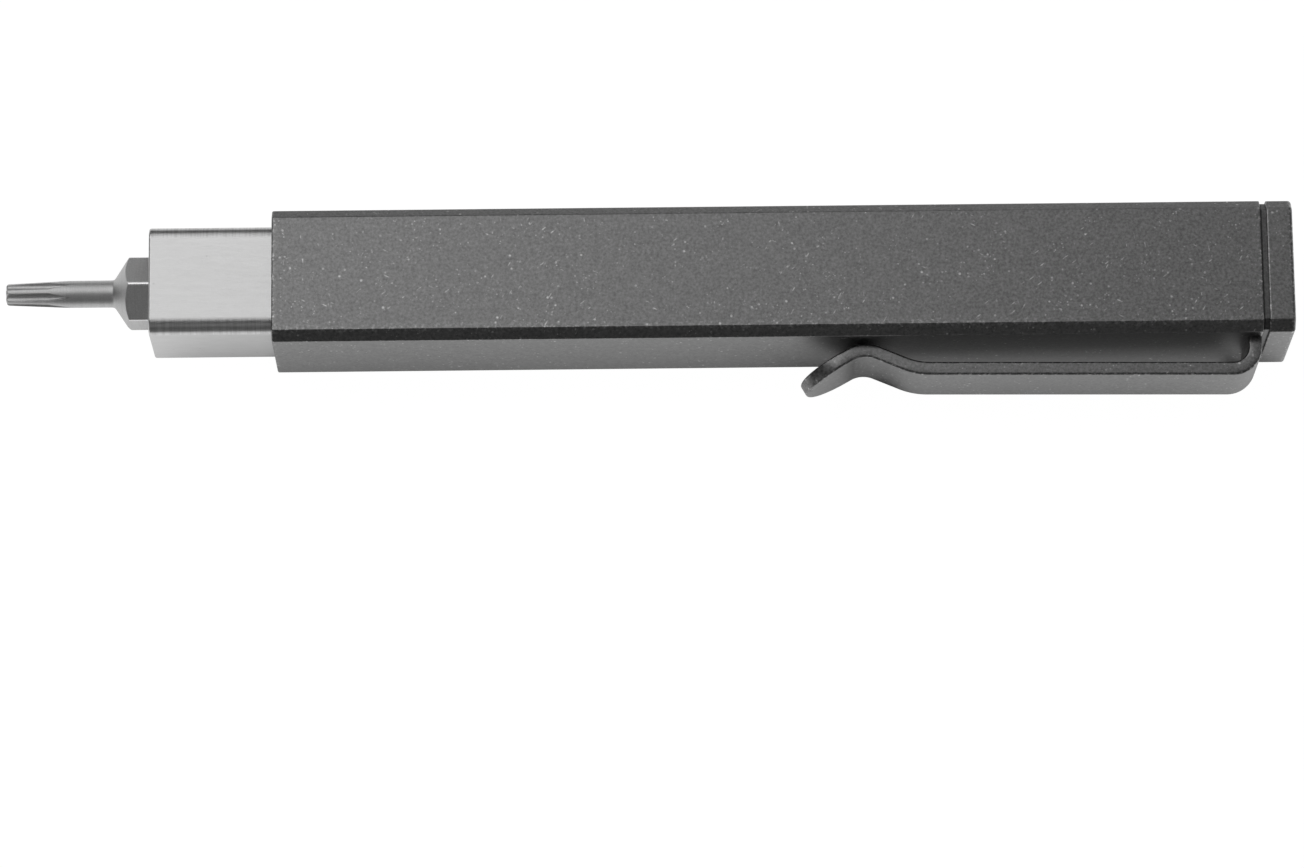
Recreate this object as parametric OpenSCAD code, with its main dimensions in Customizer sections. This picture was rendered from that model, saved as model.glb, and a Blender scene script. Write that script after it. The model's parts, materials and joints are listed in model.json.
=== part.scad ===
// Pocket bit driver: a square bar that holds its bits slides in a chamfered square sleeve.
// X runs along the tool with the bit towards -X, Z is up, the clip is on the -Y side,
// and the tool lies on its flat face. The origin is the middle of the sleeve's underside.

/* [Sleeve] */
// Thickness of the sleeve's walls
wall = 1.1; // [0.9:0.05:3]
// 45 degree chamfer along the sleeve's long edges
sleeve_chamfer = 0.92; // [0.4:0.01:1.1]
// Small bevel round the outside of the sleeve's two ends
end_break = 0.12; // [0.05:0.01:0.2]

/* [Bit bar] */
// Width of the square bar that slides in the sleeve
bar_w = 10.6; // [10.2:0.05:10.8]
// Radius of the bar's long edges
bar_r = 1.35; // [0.5:0.05:1.4]
// Length of bar that shows in front of the sleeve
bar_out = 11.8; // [8:0.1:20]
// Thickness of the web behind the socket and between the pockets
web = 1.5; // [1:0.1:4]
// Thickness of the wall between the last pocket and the magnet in the bar's tail
tail_wall = 1.55; // [1:0.05:8]
// Diameter of the hole under each pocket that a stored bit is pushed out through
push_hole_d = 4.5; // [3:0.1:6]

/* [Bits] */
// Length of an insert bit
bit_l = 25; // [20:0.1:28]
// Hexagon of an insert bit across its flats
hex_af = 6.35; // [6:0.05:6.4]
// Hexagon of an insert bit across its rounded corners
hex_ac = 7.2; // [7.1:0.01:7.3]
// Bevel round the tail end of a bit
bit_tail_bevel = 0.5; // [0.2:0.05:0.8]
// Length of the driver bit that stands out of the bar
bit_out = 14; // [11.5:0.1:16]
// Length of hexagon that stands out of the bar on the driver bit
hex_out = 2.1; // [1:0.1:4]
// Length of the cone between hexagon and shank
cone_l = 1.5; // [1:0.05:3]
// Diameter of the driver bit's round shank
shank_d = 2.6; // [2.2:0.05:3.6]
// Diameter across the lobes at the very tip
tip_d = 2.05; // [1.8:0.05:2.2]
// Length of the taper from the tip to the full shank
tip_taper_l = 6.1; // [4:0.1:7]
// Length of the six flutes at full depth
flute_l = 4.1; // [3:0.1:5]
// Radius of each flute
flute_r = 0.42; // [0.2:0.01:0.5]
// Radius at the bottom of the flutes
flute_floor_r = 0.78; // [0.6:0.01:0.85]

/* [Spare bits] */
// Shank diameter of the cross bit
cross_d = 4.5; // [3.5:0.1:5.5]
// Width of the slotted bit's blade
blade_w = 4; // [3:0.1:5.5]
// Thickness of the slotted bit's blade at its end
blade_t = 0.8; // [0.5:0.05:1.2]
// Hexagon key of the hex bit across its flats
key_af = 3; // [2:0.5:4]
// Length of a spare bit in front of its hexagon
spare_nose_l = 10; // [8:0.5:14]

/* [Magnets] */
// Diameter of the magnets in the bar's tail and in the plug
end_magnet_d = 6; // [4:0.5:7]
// Thickness of the magnets in the bar's tail and in the plug
end_magnet_t = 2; // [1:0.1:2.5]
// Diameter of the magnet at the bottom of the bit socket
socket_magnet_d = 5; // [3:0.5:5.5]
// Thickness of the magnet at the bottom of the bit socket
socket_magnet_t = 2; // [1:0.1:3]
// Diameter of the magnet under each stored bit
pocket_magnet_d = 3; // [2:0.5:5]
// Thickness of the magnet under each stored bit
pocket_magnet_t = 1.5; // [1:0.1:2.5]

/* [Tail] */
// Thickness of the wall between the plug's magnet and its screw hole
plug_wall = 0.5; // [0.4:0.1:6]
// Thickness of the end cap's head
cap_l = 2.5; // [2.2:0.05:5]
// 45 degree chamfer along the end cap's edges
cap_chamfer = 0.98; // [0.5:0.01:1.2]
// Bevel round the end cap's rear face
cap_bevel = 0.35; // [0.1:0.05:0.6]
// Width of the narrow neck between sleeve and cap
neck_l = 0.55; // [0.3:0.05:1.5]
// Depth of the neck below the sleeve's faces
neck_depth = 0.25; // [0.1:0.05:0.5]
// Diameter of the cap screw's thread
screw_d = 3; // [2.5:0.5:3.5]
// Diameter of the cap screw's countersunk head
screw_head_d = 5.6; // [5:0.1:6]
// Length of thread in the plug
screw_grip = 3.9; // [3:0.1:4.2]
// Hexagon recess in the screw head across its flats
screw_key_af = 2; // [1.5:0.5:2]
// Depth of the hexagon recess
screw_key_l = 1.1; // [0.8:0.1:1.4]

/* [Clip] */
// Width of the clip's strip
clip_w = 7.6; // [5:0.1:8.4]
// Thickness of the clip's strip
clip_t = 1.3; // [0.8:0.05:1.5]
// Gap between sleeve and clip at the rear bend
clip_gap = 2.4; // [2:0.05:4]
// Inner radius of the rear bend
root_r = 1.5; // [0.8:0.1:1.9]
// Lean of the long run towards the sleeve, in degrees
run_lean = 0.6; // [0:0.1:1.5]
// Slope of the stretch that climbs to the crest, in degrees
climb_angle = 23; // [16:0.5:35]
// Radius of the bend into the climb, at the middle of the strip
climb_r = 6.5; // [3:0.1:8]
// Gap between the sleeve and the crest
crest_gap = 0.28; // [0.2:0.01:0.8]
// Radius of the crest, at the middle of the strip
crest_r = 3; // [1:0.1:4]
// Slope of the flared tip, in degrees
flare_angle = 29.5; // [15:0.5:45]
// Distance from the sleeve's rear end to the crest
crest_back = 37.9; // [28:0.1:60]
// Distance from the crest to the tip
flare_l = 6.2; // [5:0.1:9]

/* [Fits] */
// Clearance on each side of the bar in the sleeve
slide_fit = 0.1; // [0.05:0.01:0.2]
// Clearance on each side of a hexagon in its socket
socket_fit = 0.05; // [0.02:0.01:0.1]
// Clearance where two faces meet that move apart
seat_fit = 0.02; // [0.01:0.01:0.05]
// Clearance on each side of the clip in its notch, and of the cap's boss in the bore
clip_fit = 0.05; // [0.02:0.01:0.15]
// Clearance round the screw in its holes
screw_fit = 0.1; // [0.05:0.01:0.2]
// Play of a stored bit along its pocket
pocket_play = 0.8; // [0.4:0.1:2]
// Clearance on each side of a stored bit in its pocket
pocket_fit = 0.15; // [0.1:0.05:0.3]
// Depth of a stored bit's top flat below the bar's face
pocket_sink = 0.15; // [0.1:0.05:0.3]

/* [Hidden] */
$fn = 64;

// Cutters run past the faces that they cut by this much
over = 1;
// Number of flats that each bend of the clip is drawn with
bend_parts = 16;

// The bar's length adds up from what it holds, and the sleeve's from the bar
spares = 3;
socket_depth = bit_l - bit_out + seat_fit;
pocket_l = bit_l + pocket_play;
pocket_pitch = pocket_l + web;
pocket_w = hex_ac + 2 * pocket_fit;
pocket_depth = hex_af + pocket_sink;
pocket_corner_r = 1;
first_pocket = socket_depth + socket_magnet_t + web;
bar_l = first_pocket + spares * pocket_pitch - web + tail_wall + end_magnet_t;
bore_w = bar_w + 2 * slide_fit;
bore_r = bar_r + slide_fit;
sleeve_w = bore_w + 2 * wall;
plug_l = end_magnet_t + plug_wall + screw_fit + screw_grip;
sleeve_l = bar_l - bar_out + seat_fit + plug_l + clip_t;

// Stations along the tool, and the height of its axis
x_mouth = -sleeve_l / 2;
x_end = x_mouth + sleeve_l;
x_bar = x_mouth - bar_out;
x_plug = x_bar + bar_l + seat_fit;
x_tab = x_end - clip_t;
x_rear = x_end + neck_l + cap_l;
axis_z = sleeve_w / 2;
bar_top = axis_z + bar_w / 2;
pocket_floor = bar_top - pocket_depth;

// The clip's strip, described at the middle of its thickness
bend_r = root_r + clip_t / 2;
crest_mid_y = sleeve_w / 2 + crest_gap + clip_t / 2;
leg_x = x_end - clip_t / 2;
leg_end_y = sleeve_w / 2 + clip_gap + clip_t / 2 - bend_r;
// Where the rear bend ends and the arm starts
arm_x = leg_x - bend_r * (1 + sin(run_lean));
arm_y = leg_end_y + bend_r * cos(run_lean);
// Height and length that the two straight stretches have to cover between them
rise = arm_y - crest_mid_y - climb_r * (cos(run_lean) - cos(climb_angle))
       - crest_r * (1 - cos(climb_angle));
reach = arm_x - (x_end - crest_back) - climb_r * (sin(climb_angle) - sin(run_lean))
        - crest_r * sin(climb_angle);
run_l = (reach * sin(climb_angle) - rise * cos(climb_angle)) / sin(climb_angle - run_lean);
climb_l = (rise * cos(run_lean) - reach * sin(run_lean)) / sin(climb_angle - run_lean);
tip_l = (flare_l - (crest_r + clip_t / 2) * sin(flare_angle)) / cos(flare_angle);

// Straight square bar along +X with chamfered long edges and bevelled ends, on the axis
module octagon_bar(length, width, chamfer, front_bevel, rear_bevel) {
    across = [width, sqrt(2) * (width - chamfer)];
    intersection_for (i = [0 : 3])
        rotate([45 * i, 0, 0])
            translate([0, 0, -width])
                linear_extrude(2 * width)
                    bevelled_side(length, across[i % 2] / 2, front_bevel, rear_bevel);
}

// Side outline of a bar with bevelled ends
module bevelled_side(length, half, front_bevel, rear_bevel)
    polygon([[0, half - front_bevel], [front_bevel, half],
             [length - rear_bevel, half], [length, half - rear_bevel],
             [length, rear_bevel - half], [length - rear_bevel, -half],
             [front_bevel, -half], [0, front_bevel - half]]);

// Square with rounded corners, centred
module rounded_square(width, height, radius) {
    square([width - 2 * radius, height], center = true);
    square([width, height - 2 * radius], center = true);
    for (x = [-1, 1], y = [-1, 1])
        translate([x * (width / 2 - radius), y * (height / 2 - radius)])
            circle(radius);
}

// Square bar along +X with rounded long edges, on the axis
module rounded_bar(length, width, radius)
    rotate([90, 0, 90])
        linear_extrude(length)
            rounded_square(width, width, radius);

// Round disc or bore along +X, on the axis
module disc(length, diameter)
    rotate([0, 90, 0])
        cylinder(d = diameter, h = length);

// Hexagon along +X with its corners up and down
module hexagon(length, across_flats)
    rotate([0, 90, 0])
        cylinder(d = across_flats / cos(30), h = length, $fn = 6);

// Solid turned about the X axis from an outline of [distance along X, radius]
module turned(outline)
    rotate([0, 90, 0])
        rotate([0, 0, 180])
            rotate_extrude()
                polygon([for (p = outline) [p[1], p[0]]]);

// Puts a piece on the tool's axis at a station along it
module on_axis(x)
    translate([x, 0, axis_z])
        children();

module sleeve() {
    color([0.38, 0.38, 0.39])
        difference() {
            on_axis(x_mouth)
                octagon_bar(sleeve_l, sleeve_w, sleeve_chamfer, end_break, end_break);
            on_axis(x_mouth - over)
                rounded_bar(sleeve_l + 2 * over, bore_w, bore_r);
            clip_notch();
        }
}

// Notch in the end of the sleeve's wall that the clip's leg passes through
module clip_notch()
    translate([x_tab, -sleeve_w / 2 - over, axis_z - clip_w / 2 - clip_fit])
        cube([clip_t + over, sleeve_w / 2 + over, clip_w + 2 * clip_fit]);

module tail_plug() {
    color([0.45, 0.45, 0.46])
        difference() {
            on_axis(x_plug)
                rounded_bar(plug_l, bore_w, bore_r);
            on_axis(x_plug - over)
                disc(end_magnet_t + over, end_magnet_d);
            on_axis(x_tab - screw_grip - screw_fit)
                disc(screw_grip + screw_fit + over, screw_d + 2 * screw_fit);
        }
}

module plug_magnet() {
    color([0.75, 0.75, 0.77])
        on_axis(x_plug)
            disc(end_magnet_t, end_magnet_d);
}

module end_cap() {
    neck_w = sleeve_w - 2 * neck_depth;
    neck_chamfer = cap_chamfer - (2 - sqrt(2)) * neck_depth;
    boss_w = bore_w - 2 * clip_fit;
    // Neck and boss run into the head, so that the three are one piece
    x_inside = x_rear - cap_l / 2;
    color([0.35, 0.35, 0.36])
        difference() {
            union() {
                on_axis(x_rear - cap_l)
                    octagon_bar(cap_l, sleeve_w, cap_chamfer, end_break, cap_bevel);
                on_axis(x_end)
                    octagon_bar(x_inside - x_end, neck_w, neck_chamfer, 0, 0);
                on_axis(x_tab)
                    rounded_bar(x_inside - x_tab, boss_w, bore_r - clip_fit);
            }
            on_axis(x_tab - over)
                rotate([0, 90, 0])
                    linear_extrude(clip_t + over)
                        tab_outline(clip_fit);
            on_axis(x_tab)
                disc(x_rear - x_tab + over, screw_d + 2 * screw_fit);
            on_axis(x_rear) {
                screw_cone();
                disc(over, screw_head_d);
            }
        }
}

// Countersunk cone of the screw's head, with its wide end at the origin
module screw_cone() {
    cone_h = (screw_head_d - screw_d) / 2;
    translate([-cone_h, 0, 0])
        rotate([0, 90, 0])
            cylinder(d1 = screw_d, d2 = screw_head_d, h = cone_h);
}

module cap_screw() {
    color([0.25, 0.25, 0.26])
        difference() {
            union() {
                on_axis(x_rear)
                    screw_cone();
                on_axis(x_tab - screw_grip)
                    disc(x_rear - x_tab + screw_grip, screw_d);
            }
            on_axis(x_rear - screw_key_l)
                hexagon(screw_key_l + over, screw_key_af);
        }
}

// Outline of the clip's tab round the screw, in [-Z, Y], with room added all round
module tab_outline(room) {
    circle(clip_w / 2 + room);
    translate([-clip_w / 2 - room, -sleeve_w])
        square([clip_w + 2 * room, sleeve_w]);
}

// Station [x, y, heading] that a bend reaches after a turn
function after_bend(at, radius, turn) =
    let (r = sign(turn) * radius, heading = at[2] + turn)
    [at[0] + r * (sin(heading) - sin(at[2])), at[1] - r * (cos(heading) - cos(at[2])), heading];

// Stations along the middle of the strip: each step is [length, bend radius, turn]
function stations(at, steps, i = 0) =
    i == len(steps) ? [at] :
    let (length = steps[i][0],
         radius = steps[i][1],
         turn = steps[i][2],
         start = [at[0] + length * cos(at[2]), at[1] + length * sin(at[2]), at[2]],
         bend = turn == 0 ? [] : [for (k = [0 : bend_parts - 1])
                                  after_bend(start, radius, turn * k / bend_parts)])
    concat(length > 0 ? [at] : [], bend, stations(after_bend(start, radius, turn), steps, i + 1));

// Edge of the strip at a distance to the left of its stations
function strip_edge(path, left) = [for (s = path) [s[0] - left * sin(s[2]), s[1] + left * cos(s[2])]];

// Bent strip of the clip's width, seen from above, centred on the tool's axis in height
module strip(at, steps) {
    path = stations(at, steps);
    back = [for (i = [len(path) - 1 : -1 : 0]) path[i]];
    translate([0, 0, axis_z - clip_w / 2])
        linear_extrude(clip_w)
            polygon(concat(strip_edge(path, clip_t / 2), strip_edge(back, -clip_t / 2)));
}

module clip_root() {
    color([0.36, 0.36, 0.37])
        difference() {
            intersection() {
                strip([leg_x, clip_w / 2, -90],
                      [[clip_w / 2 + leg_end_y, bend_r, -90 - run_lean]]);
                on_axis(0)
                    rotate([0, 90, 0])
                        linear_extrude(x_end + over)
                            tab_outline(0);
            }
            on_axis(x_tab - over)
                disc(clip_t + 2 * over, screw_d + 2 * screw_fit);
        }
}

module clip_arm() {
    x_tip = x_end - crest_back - flare_l;
    color([0.36, 0.36, 0.37])
        intersection() {
            strip([arm_x, -arm_y, 180 - run_lean],
                  [[run_l, climb_r, run_lean - climb_angle],
                   [climb_l, crest_r, climb_angle + flare_angle],
                   [tip_l, 0, 0]]);
            translate([x_tip + clip_w / 2, 0, axis_z])
                rotate([90, 0, 0])
                    linear_extrude(2 * sleeve_w)
                        arm_outline();
        }
}

// Arm seen from the clip's side, with its round tip at the left
module arm_outline() {
    circle(d = clip_w);
    translate([0, -clip_w / 2])
        square([crest_back + flare_l, clip_w]);
}

module bit_bar() {
    color([0.72, 0.72, 0.73])
        difference() {
            on_axis(x_bar)
                intersection() {
                    rounded_bar(bar_l, bar_w, bar_r);
                    octagon_bar(bar_l, bar_w, bar_r / 2, end_break, end_break);
                }
            on_axis(x_bar - over)
                hexagon(socket_depth + over, hex_af + 2 * socket_fit);
            on_axis(x_bar)
                disc(socket_depth + socket_magnet_t, socket_magnet_d);
            on_axis(x_bar + bar_l - end_magnet_t)
                disc(end_magnet_t + over, end_magnet_d);
            for (i = [0 : spares - 1])
                in_pocket(i)
                    pocket();
        }
}

// Puts a piece in a pocket: X at the pocket's front end, Z at its floor
module in_pocket(i)
    translate([x_bar + first_pocket + i * pocket_pitch, 0, pocket_floor])
        children();

// Pocket for a spare bit, with its push hole under the nose and the magnet's seat
module pocket() {
    translate([pocket_l / 2, 0, 0])
        linear_extrude(pocket_depth + over)
            rounded_square(pocket_l, pocket_w, pocket_corner_r);
    translate([push_hole_d, 0, -bar_w])
        cylinder(d = push_hole_d, h = bar_w + over);
    translate([magnet_x(), 0, -pocket_magnet_t])
        cylinder(d = pocket_magnet_d, h = pocket_magnet_t + over);
}

// Magnets sit under the middle of a stored bit's hexagon
function magnet_x() = pocket_l - (bit_l - spare_nose_l) / 2;

module pocket_magnet(i) {
    color([0.75, 0.75, 0.77])
        in_pocket(i)
            translate([magnet_x(), 0, -pocket_magnet_t])
                cylinder(d = pocket_magnet_d, h = pocket_magnet_t);
}

module socket_magnet() {
    color([0.75, 0.75, 0.77])
        on_axis(x_bar + socket_depth)
            disc(socket_magnet_t, socket_magnet_d);
}

module bar_magnet() {
    color([0.75, 0.75, 0.77])
        on_axis(x_bar + bar_l - end_magnet_t)
            disc(end_magnet_t, end_magnet_d);
}

// Hexagon of a bit with rounded corners, a bevelled tail and a cone down to its nose
module bit_hexagon(nose_l, nose_d)
    intersection() {
        hexagon(bit_l, hex_af);
        turned([[nose_l - cone_l, 0], [nose_l - cone_l, nose_d / 2], [nose_l, hex_ac / 2],
                [bit_l - bit_tail_bevel, hex_ac / 2],
                [bit_l, hex_ac / 2 - bit_tail_bevel], [bit_l, 0]]);
    }

// Six-lobe bit with its tip at the origin
module six_lobe_bit() {
    nose_l = bit_out - hex_out;
    bit_hexagon(nose_l, shank_d);
    difference() {
        turned([[0, 0], [0, tip_d / 2], [tip_taper_l, shank_d / 2],
                [nose_l - cone_l / 2, shank_d / 2], [nose_l - cone_l / 2, 0]]);
        for (i = [0 : 5])
            rotate([60 * i + 30, 0, 0])
                flute();
    }
}

// One flute: a round groove that narrows to a point where it runs out of the shank
module flute()
    translate([0, 0, flute_floor_r + flute_r])
        turned([[-over, 0], [-over, flute_r], [flute_l, flute_r], [tip_taper_l, 0]]);

// Cross bit with its tip at the origin
module cross_bit() {
    point_d = cross_d / 4;
    point_l = cross_d * 0.75;
    groove_lean = 9;
    bit_hexagon(spare_nose_l, cross_d);
    difference() {
        turned([[0, 0], [0, point_d / 2], [point_l, cross_d / 2],
                [spare_nose_l - cone_l / 2, cross_d / 2], [spare_nose_l - cone_l / 2, 0]]);
        for (i = [0 : 3])
            rotate([90 * i, 0, 0])
                translate([0, point_d / 4, point_d / 4])
                    rotate([0, -groove_lean, groove_lean])
                        translate([-over, 0, 0])
                            cube([point_l + cross_d + over, cross_d, cross_d]);
    }
}

// Slotted bit with its blade's end at the origin
module blade_bit() {
    blade_l = spare_nose_l / 2;
    bit_hexagon(spare_nose_l, blade_w);
    intersection() {
        turned([[0, 0], [0, blade_w / 2], [spare_nose_l - cone_l / 2, blade_w / 2],
                [spare_nose_l - cone_l / 2, 0]]);
        rotate([90, 0, 0])
            linear_extrude(2 * blade_w, center = true)
                polygon([[0, blade_t / 2], [blade_l, blade_w / 2], [spare_nose_l, blade_w / 2],
                         [spare_nose_l, -blade_w / 2], [blade_l, -blade_w / 2],
                         [0, -blade_t / 2]]);
    }
}

// Hex key bit with its tip at the origin
module key_bit() {
    key_ac = key_af / cos(30);
    collar_l = spare_nose_l / 4;
    bit_hexagon(spare_nose_l, key_ac + 1);
    intersection() {
        union() {
            hexagon(spare_nose_l - cone_l / 2, key_af);
            translate([spare_nose_l - collar_l - cone_l / 2, 0, 0])
                disc(collar_l, key_ac + 1);
        }
        turned([[0, 0], [0, key_af / 2 - 0.1], [0.4, key_ac / 2], [collar_l, key_ac / 2 + 1],
                [spare_nose_l, key_ac / 2 + 1], [spare_nose_l, 0]]);
    }
}

// Puts a stored bit in its pocket, with a flat of its hexagon on the floor
module stored(i)
    in_pocket(i)
        translate([pocket_play / 2, 0, hex_af / 2])
            rotate([30, 0, 0])
                children();

module phillips_bit() {
    color([0.5, 0.5, 0.51])
        stored(0)
            cross_bit();
}

module slotted_bit() {
    color([0.5, 0.5, 0.51])
        stored(1)
            blade_bit();
}

module hex_bit() {
    color([0.5, 0.5, 0.51])
        stored(2)
            key_bit();
}

module driver_bit() {
    color([0.55, 0.55, 0.56])
        on_axis(x_bar - bit_out)
            six_lobe_bit();
}

sleeve();
tail_plug();
plug_magnet();
end_cap();
cap_screw();
clip_root();
clip_arm();
bit_bar();
socket_magnet();
bar_magnet();
pocket_magnet(0);  // pocket_magnet_1
pocket_magnet(1);  // pocket_magnet_2
pocket_magnet(2);  // pocket_magnet_3
phillips_bit();
slotted_bit();
hex_bit();
driver_bit();
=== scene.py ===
"""Looks of a pocket bit driver: a steel bar that holds its bits slides in a stonewashed sleeve.

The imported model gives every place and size. Each visible shell is a surface worked out as whole
arrays, in millimetres, and put into a mesh in metres. X runs from the bit to the end cap, Z is up
and the clip is on the -Y side.
"""

import json
import logging
import math
from dataclasses import dataclass, replace
from enum import Enum
from functools import reduce

import bpy
import numpy as np
from mathutils import Euler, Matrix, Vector
from numpy.typing import NDArray

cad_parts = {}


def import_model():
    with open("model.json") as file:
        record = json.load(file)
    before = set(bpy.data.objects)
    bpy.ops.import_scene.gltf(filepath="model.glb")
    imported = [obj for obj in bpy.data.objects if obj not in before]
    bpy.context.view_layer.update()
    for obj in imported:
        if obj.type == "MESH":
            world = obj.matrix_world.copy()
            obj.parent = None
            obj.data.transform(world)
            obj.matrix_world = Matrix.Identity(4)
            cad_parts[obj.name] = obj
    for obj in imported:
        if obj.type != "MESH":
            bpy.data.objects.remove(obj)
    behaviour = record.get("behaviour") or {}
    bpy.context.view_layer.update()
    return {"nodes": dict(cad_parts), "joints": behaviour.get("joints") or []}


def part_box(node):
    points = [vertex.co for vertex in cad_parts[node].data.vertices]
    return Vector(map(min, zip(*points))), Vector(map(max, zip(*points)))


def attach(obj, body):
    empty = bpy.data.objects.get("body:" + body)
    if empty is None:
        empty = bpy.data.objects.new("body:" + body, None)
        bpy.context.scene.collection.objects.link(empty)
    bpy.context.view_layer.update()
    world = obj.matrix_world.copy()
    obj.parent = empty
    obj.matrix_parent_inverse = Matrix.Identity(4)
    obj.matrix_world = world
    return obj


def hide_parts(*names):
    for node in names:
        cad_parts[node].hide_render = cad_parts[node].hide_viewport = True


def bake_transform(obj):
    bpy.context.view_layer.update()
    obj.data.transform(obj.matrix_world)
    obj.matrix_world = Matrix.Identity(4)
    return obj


Array = NDArray[np.float64]
Pair = tuple[float, float]
Triple = tuple[float, float, float]
Piece = bpy.types.Object
Socket = bpy.types.NodeSocket
MM = 0.001
SHARP_R = 0.001  # radius that counts as a sharp corner, in millimetres
LEAST_R = 0.01  # least radius of a corner that is set further in
GRAZING = 0.01  # least cosine at which a ray still meets a flat
ON_ARC = 1e-4  # least distance from the flats at which a point lies on a corner's arc
LEAST_TURN = 2e-4  # least turn between two directions, in radians
DECIMALS = 5  # decimals to which two directions have to agree to count as one
OVERCUT = 1.0  # how far a cutting solid reaches past the surface, in millimetres
NOISE_MIDDLE = (0.3, 0.7)  # where most of a noise lies
log = logging.getLogger("bit_driver")


class Slot(Enum):
    """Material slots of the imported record."""

    STONEWASHED = "stonewashed_titanium"
    TURNED = "turned_titanium"
    BRUSHED = "brushed_stainless"
    BIT = "bit_steel"
    NICKEL = "nickel_plate"
    BLACK = "black_oxide_steel"


class Body(Enum):
    """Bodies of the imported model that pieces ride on."""

    SLEEVE = "sleeve"
    CLIP_ARM = "clip_arm"
    BIT_BAR = "bit_bar"
    DRIVER_BIT = "driver_bit"


def node_box(node: str) -> tuple[Array, Array]:
    """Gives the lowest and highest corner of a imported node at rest, in millimetres.

    Args:
        node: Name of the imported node.

    Returns:
        The two corners.
    """
    low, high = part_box(node)
    return np.array(low) / MM, np.array(high) / MM


@dataclass(frozen=True)
class Outline:
    """Convex outline round the tool's axis, given by flats at equal turns and rounded corners.

    Attributes:
        flats: Distance of each flat from the axis, from +Y towards +Z.
        corner_r: Radius of the corners between the flats.
    """

    flats: tuple[float, ...]
    corner_r: float

    @classmethod
    def square(cls, width: float, corner_r: float) -> "Outline":
        """Makes a square across the axes with round corners."""
        return cls((width / 2,) * 4, corner_r)

    @classmethod
    def octagon(cls, width: float, chamfer: float, corner_r: float) -> "Outline":
        """Makes a square with 45 degree chamfers and softly rounded edges."""
        return cls((width / 2, (width - chamfer) / math.sqrt(2)) * 4, corner_r)

    @classmethod
    def hexagon(cls, across_flats: float, corner_r: float) -> "Outline":
        """Makes a hexagon with two flats across Y and corners up and down."""
        return cls((across_flats / 2,) * 6, corner_r)

    @classmethod
    def circle(cls, diameter: float) -> "Outline":
        """Makes a circle, as a square whose corners are its own radius."""
        return cls((diameter / 2,) * 4, diameter / 2)

    def inset(self, depth: float) -> "Outline":
        """Gives the outline a depth further in, with its corners on the same centres."""
        return Outline(tuple(d - depth for d in self.flats), max(self.corner_r - depth, LEAST_R))

    def on_corner(self, theta: Array) -> Array:
        """Tells for each direction if it meets a corner's arc, where the outline is inside its flats."""
        return Outline(self.flats, SHARP_R).radius(theta) - self.radius(theta) > ON_ARC

    def _corners(self) -> tuple[Array, Array, Array]:
        """Gives each corner's two normal angles, and the centre of its arc.

        Two flats with their distances cut by the corner radius meet in the arc's centre.

        Returns:
            Angles of the flats before the corners, angles of those after, and centres.
        """
        count = len(self.flats)
        before = math.tau * np.arange(count) / count
        after = before + math.tau / count
        rows = np.stack([np.stack([np.cos(t), np.sin(t)], -1) for t in (before, after)], 1)
        reach = np.array(self.flats) - self.corner_r
        centres = np.linalg.solve(rows, np.stack([reach, np.roll(reach, -1)], -1)[..., None])[..., 0]
        return before, after, centres

    def radius(self, theta: Array) -> Array:
        """Gives the outline's distance from the axis in each direction.

        A flat at distance d with its normal at angle p is met at d / cos(theta - p), and the
        nearest flat counts. Between a corner's two tangent points the ray meets its arc instead,
        at c.u + sqrt((c.u)^2 - c.c + r^2), where u is the direction and c the arc's centre.

        Args:
            theta: Directions, in radians.

        Returns:
            Distances, one for each direction.
        """
        before, after, centres = self._corners()
        facing = np.cos(theta[:, None] - before)
        met = np.array(self.flats) / np.maximum(facing, GRAZING)
        flat = np.where(facing > GRAZING, met, np.inf).min(1)
        starts, ends = (np.arctan2(centres[:, 1] + self.corner_r * np.sin(t),
                                   centres[:, 0] + self.corner_r * np.cos(t)) for t in (before, after))
        inside = (theta[:, None] - starts) % math.tau <= (ends - starts) % math.tau
        along = np.cos(theta)[:, None] * centres[:, 0] + np.sin(theta)[:, None] * centres[:, 1]
        gap = along**2 - (centres**2).sum(1) + self.corner_r**2
        arc = along + np.sqrt(np.maximum(gap, 0))
        return np.where(inside.any(1), np.where(inside, arc, np.inf).min(1), flat)

    def directions(self, steps: int, apron: float = 0.0) -> Array:
        """Gives the directions in which the outline needs points.

        Args:
            steps: Number of parts of each corner's arc.
            apron: Distance on each side of a corner at which its flats get a further point.

        Returns:
            Angles, not in order.
        """
        before, after, centres = self._corners()
        turn = before[:, None] + (after - before)[:, None] * np.linspace(0, 1, steps + 1)
        spokes = np.stack([np.cos(turn), np.sin(turn)], -1)
        points = centres[:, None] + self.corner_r * spokes
        sides = []
        if apron > 0:
            quarter = np.array([[0.0, 1.0], [-1.0, 0.0]])
            sides = [points[:, 0] - apron * spokes[:, 0] @ quarter,
                     points[:, -1] + apron * spokes[:, -1] @ quarter]
        found = np.concatenate([points.reshape(-1, 2), *sides])
        return np.arctan2(found[:, 1], found[:, 0])


@dataclass(frozen=True)
class Station:
    """An outline at a place along the tool, with the wear of its edge from 0 to 1; values down to -1 are
    painted shade.
    """

    x: float
    outline: Outline
    wear: float = 0.0


def edge_stations(x: float, outline: Outline, radius: float, inwards: int, steps: int = 4) -> list[Station]:
    """Rounds the edge between an end face and the side, as a quarter circle in side view.

    At turn t the outline is inset by r (1 - sin t), at a distance r (1 - cos t) from the face.

    Args:
        x: Place of the end face.
        outline: Outline of the side.
        radius: Radius of the edge; it is negative round a bore.
        inwards: 1 for a front end, from which the side runs towards +X, and -1 for a rear end.
        steps: Number of parts of the quarter circle.

    Returns:
        Stations from the face to the side.
    """
    turns = np.linspace(0, math.pi / 2, steps + 1)
    return [
        Station(x + inwards * abs(radius) * (1 - math.cos(t)), outline.inset(radius * (1 - math.sin(t))), 1.0)
        for t in turns
    ]


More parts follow.
